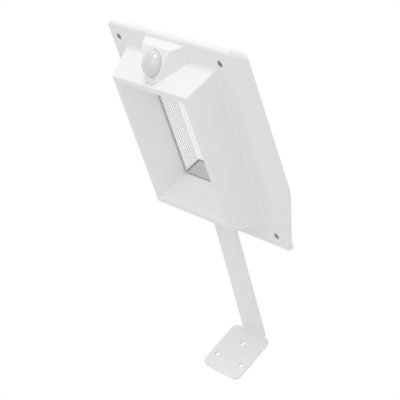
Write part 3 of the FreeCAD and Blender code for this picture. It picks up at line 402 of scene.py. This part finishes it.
def white_paint(slot):
    """Powder coat on steel: an orange peel with fine grain on top."""
    finish = Finish(slot)
    peel = finish.noise(420, 2)
    grain = finish.noise(2200)
    return finish.surface({
        "Base Color": finish.tinted(settings().bracket.paint, 0.025, 30),
        "Roughness": 0.34 + peel * 0.12,
        "Coat Roughness": 0.25,
        "Coat Weight": 0.12,
        "Normal": finish.bump(peel + grain * 0.3, 0.05)})


def milky_dome(slot):
    """Polythene that scatters light, brighter where it is thin."""
    return grained(slot, share_of(settings().sensor.milk, 0.8), (0.04, 60), (0.12, 0.06), (90,), 0.02, {
        "Subsurface Weight": 0.2, "Subsurface Radius": (2 * MM, 2 * MM, 2 * MM), "Subsurface Scale": 1.0,
        "Coat Weight": 0.6, "Coat Roughness": 0.12})


def turned_steel(name, share=0.8):
    """Plated steel with fine turning marks and dull spots, at a share of its slot's brightness."""
    finish = Finish(name)
    marks = finish.noise(3500, stretch=(1, 0.15, 0.15))
    spots = finish.noise(500)
    return finish.surface({
        "Base Color": finish.tinted(share_of(slot_colour("plated_steel"), share), 0.35, 600),
        "Metallic": 1.0,
        "Roughness": 0.3 + spots * 0.25 + marks * 0.06,
        "Normal": finish.bump(marks, 0.01)})


def solar_blue(slot):
    """Silicon: dark blue crystal grains under a dull skin."""
    finish = Finish(slot)
    grains = finish.node("ShaderNodeTexVoronoi", None, {"Vector": finish.places(), "Scale": 260.0},
                         output="Color")
    grain = finish.node("ShaderNodeSeparateColor", None, {"Color": grains}, output="Red")
    return finish.surface({
        "Base Color": finish.mixed(grain, slot_colour(slot), (0.035, 0.06, 0.19)),
        "Roughness": 0.25 + grain * 0.12,
        "Metallic": 0.25,
        "Specular IOR Level": 0.2,
        "Normal": finish.bump(grain, 0.01)})


def silver_print():
    """Printed silver bars and fingers on the solar cells."""
    return grained("silver_print", (0.72, 0.72, 0.73), (0.15, 900), (0.38, 0.15), (2600,), 0.01,
                   {"Metallic": 0.9})


def panel_glass(slot):
    """Clear glass: see-through from the front, a mirror at a glance."""
    finish = Finish(slot)
    finish.material.surface_render_method = "BLENDED"
    smear = finish.noise(40)
    shine = finish.node("ShaderNodeBsdfGlossy", None, {
        "Color": (*WHITE, 1), "Roughness": 0.05 + smear * 0.05, "Normal": finish.bump(smear, 0.02)})
    clear = finish.node("ShaderNodeBsdfTransparent", None, {"Color": (0.95, 0.97, 0.97, 1)})
    facing = finish.node("ShaderNodeFresnel", None, {"IOR": 1.33})
    return finish.ended(finish.either((facing + 0.02).at_most(1), clear, shine))


def lamp_grey(slot):
    """Grey moulded plastic with faint drag lines."""
    return grained(slot, share_of(slot_colour(slot), 1.1), (0.12, 220), (0.42, 0.15),
                   (900, 3, (0.12, 1, 1)), 0.03)


def lens_web(slot):
    """The lens sheet between its cells, in a dark grey that is painted shade between them."""
    return grained(slot, settings().lamp.web_colour, (0.15, 300), (0.3, 0.15), (300,), 0.01,
                   {"Coat Weight": 0.3})


def lens_cells():
    """The clear cells, with a painted glow that stands in for light from the white behind them."""
    finish = Finish("lens_cells")
    haze = finish.noise(500)
    return finish.surface({
        "Base Color": finish.tinted(settings().lamp.cell_colour, 0.04, 120),
        # Painted glow: the cells emit white light though they are no lamp
        "Emission Color": finish.tinted(WHITE, 0.1, 120),
        "Emission Strength": 0.24,
        "Roughness": 0.12 + haze * 0.08,
        "Coat Weight": 0.5,
        "Coat Roughness": 0.05,
        "Normal": finish.bump(haze, 0.01)})


def board(slot):
    """A lacquered circuit board with faint raised tracks."""
    finish = Finish(slot)
    tracks = finish.node("ShaderNodeTexBrick", None, {
        "Vector": finish.places(), "Color1": (*WHITE, 1), "Color2": (0.6, 0.6, 0.6, 1),
        "Mortar": (0, 0, 0, 1), "Scale": 180.0, "Mortar Size": 0.03})
    relief = finish.node("ShaderNodeSeparateColor", None, {"Color": tracks}, output="Red")
    colour = slot_colour(slot)
    return finish.surface({
        "Base Color": finish.mixed(relief, share_of(colour, 0.8), colour),
        "Roughness": 0.28 + relief * 0.1,
        "Coat Weight": 0.4,
        "Normal": finish.bump(relief, 0.02)})


FINISHES = {
    "white_plastic": white_plastic, "white_paint": white_paint, "milky_dome": milky_dome,
    "plated_steel": turned_steel, "solar_blue": solar_blue, "panel_glass": panel_glass,
    "lamp_grey": lamp_grey, "lens_clear": lens_web, "board_white": board, "board_green": board,
}


def finish_for(slot):
    """The finish of a material slot, made once."""
    made = bpy.data.materials.get(slot + "_finish")
    if made:
        return made
    if slot in GRAINED:
        return grained(slot, slot_colour(slot), **GRAINED[slot])
    return FINISHES[slot](slot)


# Mesh helpers
def add_object(name, data):
    item = bpy.data.objects.new(name, data)
    bpy.context.scene.collection.objects.link(item)
    return item


def add_mesh(name, mesh, matrix=Matrix.Identity(4)):
    """Put a finished bmesh into the scene, with its faces looking outwards."""
    data = bpy.data.meshes.new(name)
    bmesh.ops.recalc_face_normals(mesh, faces=mesh.faces)
    mesh.to_mesh(data)
    mesh.free()
    data.transform(matrix)
    return add_object(name, data)


def new_piece(name, mesh, matrix, slot, replaces=(), materials=(), body="root", smooth_angle=35):
    """Put a finished bmesh into the scene as a piece that rides on a body."""
    piece = add_mesh(name, mesh, matrix)
    for material in materials or [finish_for(slot)]:
        piece.data.materials.append(material)
    piece.data.shade_smooth()
    piece.data.set_sharp_from_angle(angle=math.radians(smooth_angle))
    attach(piece, body)
    if replaces:
        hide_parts(*replaces)


def turned(mesh, profile, segments, centre=(0, 0), shape=None):
    """Turn a closed profile of (radius, height) about the Z axis; a radius of 0 closes it on the axis."""
    rings = []
    for radius, height in profile:
        if radius == 0:
            rings.append([mesh.verts.new((*centre, height))])
            continue
        ring = []
        for step in range(segments):
            angle = 2 * math.pi * step / segments
            reach, rise = shape(radius, height, angle) if shape else (radius, height)
            ring.append(mesh.verts.new((centre[0] + reach * math.cos(angle),
                                        centre[1] + reach * math.sin(angle), rise)))
        rings.append(ring)
    following = rings[1:] if profile[0][0] == 0 else rings[1:] + rings[:1]
    for low, high in zip(rings, following):
        join_rings(mesh, low, high)


def join_rings(mesh, low, high):
    """Faces between two rings of equal length, or from a ring to a single point."""
    count = max(len(low), len(high))
    for step in range(count):
        following = (step + 1) % count
        corners = [low[step % len(low)], low[following % len(low)],
                   high[following % len(high)], high[step % len(high)]]
        mesh.faces.new(dict.fromkeys(corners))


def arc(centre, radius, start, end, steps):
    """Points of an arc from one angle to another, in degrees."""
    angles = [math.radians(start + (end - start) * step / steps) for step in range(steps + 1)]
    return [(centre[0] + radius * math.cos(angle), centre[1] + radius * math.sin(angle)) for angle in angles]


def circle(centre, radius, steps):
    return arc(centre, radius, 0, 360, steps)[:-1]


def rectangle(left, right, low, high):
    return [(left, low), (right, low), (right, high), (left, high)]


def slab(mesh, outline, low, high):
    """An upright prism over an outline."""
    bottom = [mesh.verts.new((*corner, low)) for corner in outline]
    top = [mesh.verts.new((*corner, high)) for corner in outline]
    faces = [mesh.faces.new(bottom[::-1]), mesh.faces.new(top)]
    for step in range(len(outline)):
        following = (step + 1) % len(outline)
        faces.append(mesh.faces.new((bottom[step], bottom[following], top[following], top[step])))
    return faces


# Operators: one for each piece or group of like pieces
class SENSOR_LIGHT_OT_finishes(bpy.types.Operator):
    """Give every carried part the finish of its material slot."""
    bl_idname = "sensor_light.finishes"
    bl_label = "Finish the carried parts"

    def execute(self, context):
        for part in frame["record"]["subparts"]:
            item = frame["nodes"][part["node"]]
            item.data.materials.clear()
            item.data.materials.append(finish_for(part["material_slot"]))
        return {"FINISHED"}


class SENSOR_LIGHT_OT_screws(bpy.types.Operator):
    """Make the four housing screws: domed heads with a cross recess, and threaded shanks."""
    bl_idname = "sensor_light.screws"
    bl_label = "Housing screws"

    def execute(self, context):
        cover = millimetres(settings().cover)
        seat = Seat("housing_screws", HOUSING_AXES)
        head = cover.screw_head_radius
        height = cover.screw_head_height
        arm_length = 0.62 * head
        arm_half_width = 0.3 * arm_length
        recess = 0.6 * height

        def crossed(radius, level, angle):
            off_arm = min(abs(radius * math.cos(angle)), abs(radius * math.sin(angle)))
            pressed = level > -height / 2 and radius < arm_length and off_arm < arm_half_width
            return radius, level - recess if pressed else level

        profile = self.shank(cover) + self.head(head, height) + [(0, -recess)]
        across = seat.width / 2 - head
        up = seat.height / 2 - head
        mesh = bmesh.new()
        for centre in ((-across, -up), (-across, up), (across, -up), (across, up)):
            turned(mesh, profile, segments=72, centre=centre, shape=crossed)
        new_piece("cover_screws", mesh, seat.frame_at(seat.high.z), "plated_steel", ["housing_screws"],
                  [turned_steel("screw_steel", 0.95)])
        return {"FINISHED"}

    @staticmethod
    def shank(cover):
        """The threaded shank's outline, from its tip up to the head."""
        start = -cover.screw_head_height
        pitch = cover.thread_pitch
        outer = cover.screw_shank_radius
        root = 0.78 * outer
        flank = 0.2 * pitch
        tip = start - cover.screw_shank_length
        profile = [(0, tip), (0.4 * root, tip + 0.15)]
        level = tip + pitch / 2
        while level < start - pitch / 2:
            profile += [(root, level - flank), (outer, level), (root, level + flank)]
            level += pitch
        return profile + [(root, start)]

    @staticmethod
    def head(radius, height):
        """The domed head's outline, with its top at a level of 0."""
        rim = 0.55 * height
        edge = [(radius - 0.1, -height), (radius, -height + 0.12), (radius, -rim)]
        slopes = [math.radians(angle) for angle in range(15, 90, 5)]
        return edge + [(radius * math.cos(slope), -rim * (1 - math.sin(slope))) for slope in slopes]


class SENSOR_LIGHT_OT_dome(bpy.types.Operator):
    """Make the sensor dome: a milky shell with lens facets, a skirt and a flange."""
    bl_idname = "sensor_light.dome"
    bl_label = "Sensor dome"

    def execute(self, context):
        sensor = millimetres(settings().sensor)
        seat = Seat("sensor_dome", SENSOR_AXES)
        radius = sensor.dome_radius
        height = sensor.dome_height
        wall = sensor.dome_wall
        base = height - seat.depth
        flange = seat.width / 2
        top = base + min(wall, -base / 3)
        edge = 0.15
        angles = [math.radians(angle) for angle in range(0, 90, 3)]
        outer = [(radius * math.cos(angle), height * math.sin(angle)) for angle in angles]
        inner = [((radius - wall) * math.cos(angle), (height - wall) * math.sin(angle)) for angle in angles]
        foot = [(radius - wall, base), (flange - edge, base), (flange, base + edge), (flange, top - edge),
                (flange - edge, top), (radius, top)]
        mesh = bmesh.new()
        turned(mesh, [(0, height - wall)] + inner[::-1] + foot + outer + [(0, height)], segments=144,
               shape=self.facet_shape(radius, height, sensor.facet_depth))
        new_piece("dome_lens", mesh, seat.frame_at(seat.high.z - height * MM), "milky_dome", ["sensor_dome"],
                  smooth_angle=50)
        return {"FINISHED"}

    @staticmethod
    def facet_shape(radius, height, depth):
        """Sink the outer skin along the borders of its lens facets, which lie in three belts."""
        # How far up the dome each belt starts, and its number of facets
        belts = ((0.0, 18), (0.34, 12), (0.62, 6))

        def shape(reach, level, angle):
            if level <= 0 or math.hypot(reach / radius, level / height) < 0.99:
                return reach, level
            climb = math.asin(min(1, level / height)) / (math.pi / 2)
            start, count = [belt for belt in belts if belt[0] <= climb][-1]
            end = min([belt[0] for belt in belts if belt[0] > climb] + [1.0])
            along = (climb - start) / (end - start)
            around = angle / (2 * math.pi) * count % 1
            border = max(abs(2 * along - 1), abs(2 * around - 1)) ** 6
            sink = 1 - depth / radius * border * (1 - climb ** 8)
            return reach * sink, level * sink
        return shape


class SENSOR_LIGHT_OT_honeycomb(bpy.types.Operator):
    """Cover the folded lens sheet's inner side with small round cells, packed close."""
    bl_idname = "sensor_light.honeycomb"
    bl_label = "Lens cells"

    def execute(self, context):
        lamp = millimetres(settings().lamp)
        seat = Seat("lens_sheet", HOUSING_AXES)
        mesh = bmesh.new()
        for wall in self.sheet_walls(seat.points_about(seat.high.z), lamp.sheet_thickness):
            self.cells(mesh, lamp, *wall)
        # The cells wear a painted glow, as if lit from behind
        new_piece("lens_cells", mesh, seat.frame_at(seat.high.z), "lens_clear", materials=[lens_cells()],
                  smooth_angle=60)
        return {"FINISHED"}

    @staticmethod
    def sheet_walls(points, thickness):
        """The sheet's inner walls: where each starts and ends, and its reach along Y there."""
        mouth = [point for point in points if abs(point.z) < LEVEL]
        floor = min(point.z for point in points) + thickness
        fold = [point for point in points if abs(point.z - floor) < LEVEL]
        half_mouth = min(abs(point.x) for point in mouth)
        half_floor = max(abs(point.x) for point in fold)
        corners = [Vector((-half_mouth, 0, 0)), Vector((-half_floor, 0, floor)),
                   Vector((half_floor, 0, floor)), Vector((half_mouth, 0, 0))]
        mouth_reach, floor_reach = [max(point.y for point in edge) for edge in (mouth, fold)]
        reaches = [mouth_reach, floor_reach, floor_reach, mouth_reach]
        return zip(corners, corners[1:], reaches, reaches[1:])

    @staticmethod
    def cells(mesh, lamp, start, end, start_reach, end_reach):
        """Fill one wall with cells in staggered columns, inside its plain margin."""
        pitch = lamp.cell_pitch
        length = (end - start).length
        across = (end - start).normalized()
        along = Vector((0, 1, 0))
        first = 0.35 * pitch
        columns = round((length - 2 * first) / (pitch * math.sqrt(3) / 2)) + 1
        column_pitch = (length - 2 * first) / (columns - 1)
        for column in range(columns):
            travel = first + column * column_pitch
            reach = start_reach + (end_reach - start_reach) * travel / length - lamp.edge_margin - pitch / 2
            shift = column % 2 / 2
            for row in range(math.ceil(-reach / pitch - shift), math.floor(reach / pitch - shift) + 1):
                centre = start + across * travel + along * (row + shift) * pitch
                add_lens_cell(mesh, centre, across, along, pitch / 2, lamp.cell_height)


def add_lens_cell(mesh, centre, across, along, radius, rise):
    """One round lens: a low dome in two steps, standing in the sheet."""
    out = across.cross(along)
    rings = []
    for share, height in ((1.0, -0.05), (0.8, 0.62 * rise), (0.42, 0.93 * rise)):
        rings.append([mesh.verts.new(centre + across * x + along * y + out * height)
                      for x, y in circle((0, 0), radius * share, steps=12)])
    tip = [mesh.verts.new(centre + out * rise)]
    mesh.faces.new(rings[0][::-1])
    for low, high in zip(rings, rings[1:] + [tip]):
        join_rings(mesh, low, high)


class SENSOR_LIGHT_OT_solar_cells(bpy.types.Operator):
    """Make the solar cells: thin plates with cut corners, silver bars and fine silver fingers."""
    bl_idname = "sensor_light.solar_cells"
    bl_label = "Solar cells"

    def execute(self, context):
        panel = settings().panel
        lengths = millimetres(panel)
        gap = lengths.cell_gap
        cut = lengths.corner
        seat = Seat("solar_cells", HOUSING_AXES)
        wide = (seat.width + gap) / panel.columns - gap
        tall = (seat.height + gap) / panel.rows - gap
        skin = 0.25 * seat.depth
        mesh = bmesh.new()
        for column in range(panel.columns):
            for row in range(panel.rows):
                left = column * (wide + gap) - seat.width / 2
                low = row * (tall + gap) - seat.height / 2
                right = left + wide
                high = low + tall
                slab(mesh, [(left + cut, low), (right - cut, low), (right, low + cut), (right, high - cut),
                            (right - cut, high), (left + cut, high), (left, high - cut), (left, low + cut)],
                     skin, seat.depth)
                self.silver(mesh, (left, right, low, high), skin, lengths, panel.fingers)
        new_piece("solar_cell_plates", mesh, seat.frame_at(seat.low.z), "solar_blue", ["solar_cells"],
                  [finish_for("solar_blue"), silver_print()])
        return {"FINISHED"}

    @staticmethod
    def silver(mesh, edges, skin, lengths, fingers):
        """Two bars up a cell and the fingers across it, printed on its outer side."""
        left, right, low, high = edges
        bar = lengths.bar_width
        half = lengths.finger_width / 2
        faces = []
        for place in (0.27, 0.73):
            middle = left + place * (right - left)
            faces += slab(mesh, rectangle(middle - bar / 2, middle + bar / 2, low + bar, high - bar),
                          0.2 * skin, skin)
        for number in range(fingers):
            level = low + (high - low) * (number + 0.5) / fingers
            faces += slab(mesh, rectangle(left + bar, right - bar, level - half, level + half),
                          0.6 * skin, skin)
        for face in faces:
            face.material_index = 1


class SENSOR_LIGHT_OT_button(bpy.types.Operator):
    """Make the push button: a soft stem with a rounded top and a rim that keeps it in."""
    bl_idname = "sensor_light.button"
    bl_label = "Push button"

    def execute(self, context):
        seat = Seat("switch_button", axes_along(flat_normal("switch_board", -HOUSING_AXES.col[2])))
        points = seat.points_about(seat.low.z)
        top = max(point.z for point in points)
        rim = seat.width / 2
        stem = max(math.hypot(point.x, point.y) for point in points if abs(point.z - top) < LEVEL)
        flange = [point.z for point in points if math.hypot(point.x, point.y) > rim - 0.1]
        under, over = round(min(flange), 2), round(max(flange), 2)
        edge = 0.15
        rounding = 0.7
        profile = [(0, 0), (stem - 0.2, 0), (stem, 0.2), (stem, under), (rim - edge, under),
                   (rim, under + edge), (rim, over - edge), (rim - edge, over), (stem, over)]
        profile += arc((stem - rounding, top - rounding - 0.1), rounding, 0, 80, 6)
        profile += [(0.6 * stem, top - 0.03), (0.3 * stem, top), (0, top)]
        mesh = bmesh.new()
        turned(mesh, profile, segments=48)
        new_piece("press_button", mesh, seat.frame_at(seat.low.z), "button_grey", ["switch_button"],
                  body="button")
        return {"FINISHED"}


class SENSOR_LIGHT_OT_bracket(bpy.types.Operator):
    """Cut the bracket's flat blank with its holes, round its edges, then fold it at both bends."""
    bl_idname = "sensor_light.bracket"
    bl_label = "Folded bracket"

    def execute(self, context):
        bracket = millimetres(settings().bracket)
        path = self.fold_path(bracket, settings().bracket.arm_rise)
        blank = add_mesh("bracket_blank", self.flat_blank(bracket, path))
        thicken = blank.modifiers.new("thickness", "SOLIDIFY")
        thicken.thickness = bracket.thickness
        thicken.offset = 0
        rounding = blank.modifiers.new("edges", "BEVEL")
        rounding.width = bracket.edge_round
        rounding.segments = 3
        rounding.limit_method = "ANGLE"
        rounding.angle_limit = math.radians(50)
        mesh = bmesh.new()
        mesh.from_object(blank, bpy.context.evaluated_depsgraph_get())
        bpy.data.objects.remove(blank)
        for vertex in mesh.verts:
            vertex.co = self.folded(path, vertex.co)
        new_piece("folded_bracket", mesh, Matrix.Scale(MM, 4), "white_paint", ["bracket_strip"])
        return {"FINISHED"}

    @staticmethod
    def fold_path(bracket, arm_rise):
        """The sheet's middle line as straight stretches, each with the turn after it, in the YZ plane."""
        radius = bracket.bend_radius + bracket.thickness / 2
        tab_way = TAB_AXES.col[1]
        ways = [math.pi / 2, math.pi - arm_rise, math.atan2(tab_way.z, tab_way.y) % (2 * math.pi)]
        lengths = [bracket.foot_length, bracket.arm_length, bracket.tab_length]
        turns = [ways[1] - ways[0], ways[2] - ways[1], 0]
        trims = [0] + [radius * math.tan(turn / 2) for turn in turns]
        corner = Vector((-bracket.thickness / 2, -bracket.foot_length / 2))
        path = []
        travelled = 0
        for number, (way, length, turn) in enumerate(zip(ways, lengths, turns)):
            direction = Vector((math.cos(way), math.sin(way)))
            straight = length - trims[number] - trims[number + 1]
            path.append(SimpleNamespace(
                begins=travelled, bends=travelled + straight, start=corner + direction * trims[number],
                direction=direction, length=straight, turn=turn, radius=radius))
            travelled += straight + radius * turn
            corner += direction * length
        return path

    @staticmethod
    def flat_blank(bracket, path):
        """The flat outline with its holes, filled, and cut across where it will bend."""
        half_foot = bracket.foot_width / 2
        half_strip = bracket.strip_width / 2
        corner = bracket.foot_corner
        shoulder = bracket.foot_length - bracket.shoulder
        end = path[2].bends
        corner_cut = 1.2
        right = arc((half_foot - corner, corner), corner, -90, 0, 10)
        right += arc((half_foot - corner, shoulder - corner), corner, 0, 90, 10)
        right += [(half_strip, shoulder), (half_strip, end - corner_cut), (half_strip - corner_cut, end)]
        middle = bracket.foot_length / 2
        washers = Seat("bracket_washers", TAB_AXES)
        bolts = path[2].begins + bracket.bolt_along_tab - bracket.tab_length + path[2].length
        holes = [((side * bracket.hole_spread / 2, middle - bracket.holes_below), bracket.hole_radius)
                 for side in (-1, 1)]
        holes.append(((0, middle + bracket.hole_above), bracket.hole_radius))
        holes += [((across, bolts), bracket.bolt_hole_radius)
                  for across, _ in washers.two_across(washers.height / 2)]
        mesh = bmesh.new()
        edges = []
        outline = right + [(-x, y) for x, y in right[::-1]]
        for loop in [outline] + [circle(*hole, steps=40) for hole in holes]:
            corners = [mesh.verts.new((*point, 0)) for point in loop]
            edges += [mesh.edges.new(pair) for pair in zip(corners, corners[1:] + corners[:1])]
        bmesh.ops.triangle_fill(mesh, edges=edges, use_beauty=True)
        bmesh.ops.dissolve_limit(mesh, angle_limit=0.01, verts=mesh.verts, edges=mesh.edges)
        bend_steps = 12
        for stretch in path[:2]:
            for step in range(bend_steps + 1):
                level = stretch.bends + stretch.radius * stretch.turn * step / bend_steps
                bmesh.ops.bisect_plane(mesh, geom=mesh.verts[:] + mesh.edges[:] + mesh.faces[:],
                                       plane_co=(0, level, 0), plane_no=(0, 1, 0))
        return mesh

    @staticmethod
    def folded(path, flat):
        """Where a point of the flat blank lies once the blank is folded."""
        across, travel, lift = flat
        stretch = [item for item in path if item.begins <= travel or item is path[0]][-1]
        along = travel - stretch.begins
        side = Vector((-stretch.direction.y, stretch.direction.x))
        if along <= stretch.length:
            spot = stretch.start + stretch.direction * along + side * lift
        else:
            spoke = -side
            spoke.rotate(Matrix.Rotation((along - stretch.length) / stretch.radius, 2))
            centre = stretch.start + stretch.direction * stretch.length + side * stretch.radius
            spot = centre + spoke * (stretch.radius - lift)
        return Vector((across, spot.x, spot.y))


class SENSOR_LIGHT_OT_bolts(bpy.types.Operator):
    """Make the two bolts with their washers and nuts, chamfered as real ones are."""
    bl_idname = "sensor_light.bolts"
    bl_label = "Bolts, washers and nuts"

    def execute(self, context):
        self.bolts()
        self.washers()
        self.nuts()
        return {"FINISHED"}

    @staticmethod
    def bolts():
        seat = Seat("bracket_bolts", TAB_AXES)
        tip = -seat.depth
        head = seat.height / 2
        under_head = (Seat("bracket_washers", TAB_AXES).high.z - seat.high.z) / MM
        shank = 1.95
        crest = shank - 0.02
        root = shank - 0.3
        flank = 0.17
        pitch = 0.7
        socket = 1.25
        rounding = 1.3
        profile = [(0, tip), (shank - 0.5, tip), (shank - 0.1, tip + 0.45)]
        level = tip + 0.8
        while level < under_head - 0.5:
            profile += [(crest, level), (root, level + flank), (crest, level + 2 * flank)]
            level += pitch
        profile += [(shank, under_head), (head - 0.2, under_head), (head, under_head + 0.2)]
        profile += arc((head - rounding, -rounding), rounding, 0, 90, 8)
        profile += [(socket + 0.15, 0), (socket, -0.15), (socket, -1.3), (0, -1.6)]
        mesh = bmesh.new()
        for centre in seat.two_across(head):
            turned(mesh, profile, segments=36, centre=centre)
        new_piece("tab_bolts", mesh, seat.frame_at(seat.high.z), "plated_steel", ["bracket_bolts"])

    @staticmethod
    def washers():
        seat = Seat("bracket_washers", TAB_AXES)
        radius = seat.height / 2
        top = seat.depth
        bore = settings().bracket.bolt_hole_radius / MM
        chamfer = 0.15
        mesh = bmesh.new()
        profile = [(bore, chamfer), (bore + chamfer, 0), (radius - chamfer, 0), (radius, chamfer),
                   (radius, top - chamfer), (radius - chamfer, top), (bore + chamfer, top), (bore, top - chamfer)]
        for centre in seat.two_across(radius):
            turned(mesh, profile, segments=48, centre=centre)
        new_piece("tab_washers", mesh, seat.frame_at(seat.low.z), "plated_steel", ["bracket_washers"])

    @staticmethod
    def nuts():
        seat = Seat("bracket_nuts", TAB_AXES)
        apothem = seat.height / 2
        corner = apothem / math.cos(math.pi / 6)
        top = seat.depth
        bore = 2.0
        chamfer = 0.3
        shoulder = 0.35

        def six_sided(radius, level, angle):
            flat = apothem / math.cos(angle % (math.pi / 3) - math.pi / 6)
            if radius < corner - 0.6:
                return radius, level
            return (flat, level) if radius >= corner else (min(flat, radius), level)

        profile = [(bore, chamfer), (bore + chamfer, 0), (corner - 0.5, 0), (corner, shoulder),
                   (corner, top - shoulder), (corner - 0.5, top), (bore + chamfer, top), (bore, top - chamfer)]
        mesh = bmesh.new()
        for centre in seat.two_across(corner):
            turned(mesh, profile, segments=48, centre=centre, shape=six_sided)
        new_piece("tab_nuts", mesh, seat.frame_at(seat.low.z), "plated_steel", ["bracket_nuts"])


# Each lamp's name, the setting that holds its power, its width and its place
LAMPS = (("key_lamp", "key_light", 0.5, (0.25, -1.75, 0.68)),
         ("front_lamp", "front_light", 1.5, (0.35, -1.6, -0.5)))
LAMP_TARGET = Vector((0, -0.18, 0.06))
FLOOR_HALF_SIZE = 60


class SENSOR_LIGHT_OT_stage(bpy.types.Operator):
    """Set up the floor, the world, the lamps and the camera."""
    bl_idname = "sensor_light.stage"
    bl_label = "Stage, lamps and camera"

    def execute(self, context):
        stage = settings().stage
        context.scene.view_settings.view_transform = "Standard"
        self.floor(stage)
        self.world(context.scene, stage)
        for name, power, width, place in LAMPS:
            self.lamp(name, getattr(stage, power), width, place)
        self.camera(context.scene, stage)
        return {"FINISHED"}

    @staticmethod
    def floor(stage):
        """White paper that keeps the shadows, and that shines white where it is looked at."""
        mesh = bmesh.new()
        bmesh.ops.create_grid(mesh, x_segments=1, y_segments=1, size=FLOOR_HALF_SIZE)
        data = bpy.data.meshes.new("floor")
        mesh.to_mesh(data)
        mesh.free()
        floor = add_object("floor", data)
        floor.location.z = -stage.floor_drop
        finish = Finish("floor_white")
        paper = finish.node("ShaderNodeBsdfDiffuse", None, {"Color": (0.9, 0.9, 0.9, 1)})
        white = finish.node("ShaderNodeEmission", None, {"Color": (*WHITE, 1), "Strength": 1.0})
        data.materials.append(finish.ended(finish.either(finish.looked_at() * 0.8, paper, white)))

    @staticmethod
    def world(scene, stage):
        """White where the camera, gloss or glass looks past the light, and even soft light elsewhere."""
        scene.world = bpy.data.worlds.new("studio")
        scene.world.use_nodes = True
        nodes = Nodes(scene.world.node_tree)
        even, white = [nodes.node("ShaderNodeBackground", None, {"Color": (*WHITE, 1), "Strength": strength})
                       for strength in (stage.world_light, 1.0)]
        nodes.node("ShaderNodeOutputWorld", None, {"Surface": nodes.either(nodes.looked_at(), even, white)})

    @staticmethod
    def lamp(name, power, width, place):
        data = bpy.data.lights.new(name, "AREA")
        data.energy = power
        data.size = width
        item = add_object(name, data)
        item.location = place
        item.rotation_euler = (LAMP_TARGET - item.location).to_track_quat("-Z", "Y").to_euler()
        item.visible_camera = False

    @staticmethod
    def camera(scene, stage):
        data = bpy.data.cameras.new("camera")
        data.sensor_width = 36
        data.lens = stage.lens
        data.clip_start = 0.05
        item = add_object("camera", data)
        place = Vector(stage.camera_place)
        aim = (Vector(stage.camera_target) - place).to_track_quat("-Z", "Y").to_matrix()
        item.matrix_world = Matrix.LocRotScale(place, aim @ Matrix.Rotation(stage.camera_roll, 3, "Z"), None)
        scene.camera = item


class SENSOR_LIGHT_PT_panel(bpy.types.Panel):
    """Buttons and settings in the sidebar."""
    bl_idname = "SENSOR_LIGHT_PT_panel"
    bl_label = "Sensor light"
    bl_space_type = "VIEW_3D"
    bl_region_type = "UI"
    bl_category = "Sensor light"

    def draw(self, context):
        for operator in OPERATORS:
            self.layout.operator(operator.bl_idname)
        for group in LightSettings.__annotations__:
            values = getattr(settings(), group)
            box = self.layout.box()
            for name in type(values).__annotations__:
                box.prop(values, name)


OPERATORS = (SENSOR_LIGHT_OT_stage, SENSOR_LIGHT_OT_finishes, SENSOR_LIGHT_OT_screws, SENSOR_LIGHT_OT_dome,
             SENSOR_LIGHT_OT_honeycomb, SENSOR_LIGHT_OT_solar_cells, SENSOR_LIGHT_OT_button,
             SENSOR_LIGHT_OT_bracket, SENSOR_LIGHT_OT_bolts)
GROUPS = (StageSettings, CoverSettings, SensorSettings, LampSettings, PanelSettings, BracketSettings,
          LightSettings)
CLASSES = GROUPS + OPERATORS + (SENSOR_LIGHT_PT_panel,)


def register():
    for item in CLASSES:
        bpy.utils.register_class(item)
    bpy.types.Scene.sensor_light = PointerProperty(type=LightSettings)


def unregister():
    del bpy.types.Scene.sensor_light
    for item in reversed(CLASSES):
        bpy.utils.unregister_class(item)


def main():
    register()
    for operator in OPERATORS:
        group, name = operator.bl_idname.split(".")
        getattr(getattr(bpy.ops, group), name)()


if __name__ == "__main__":
    main()
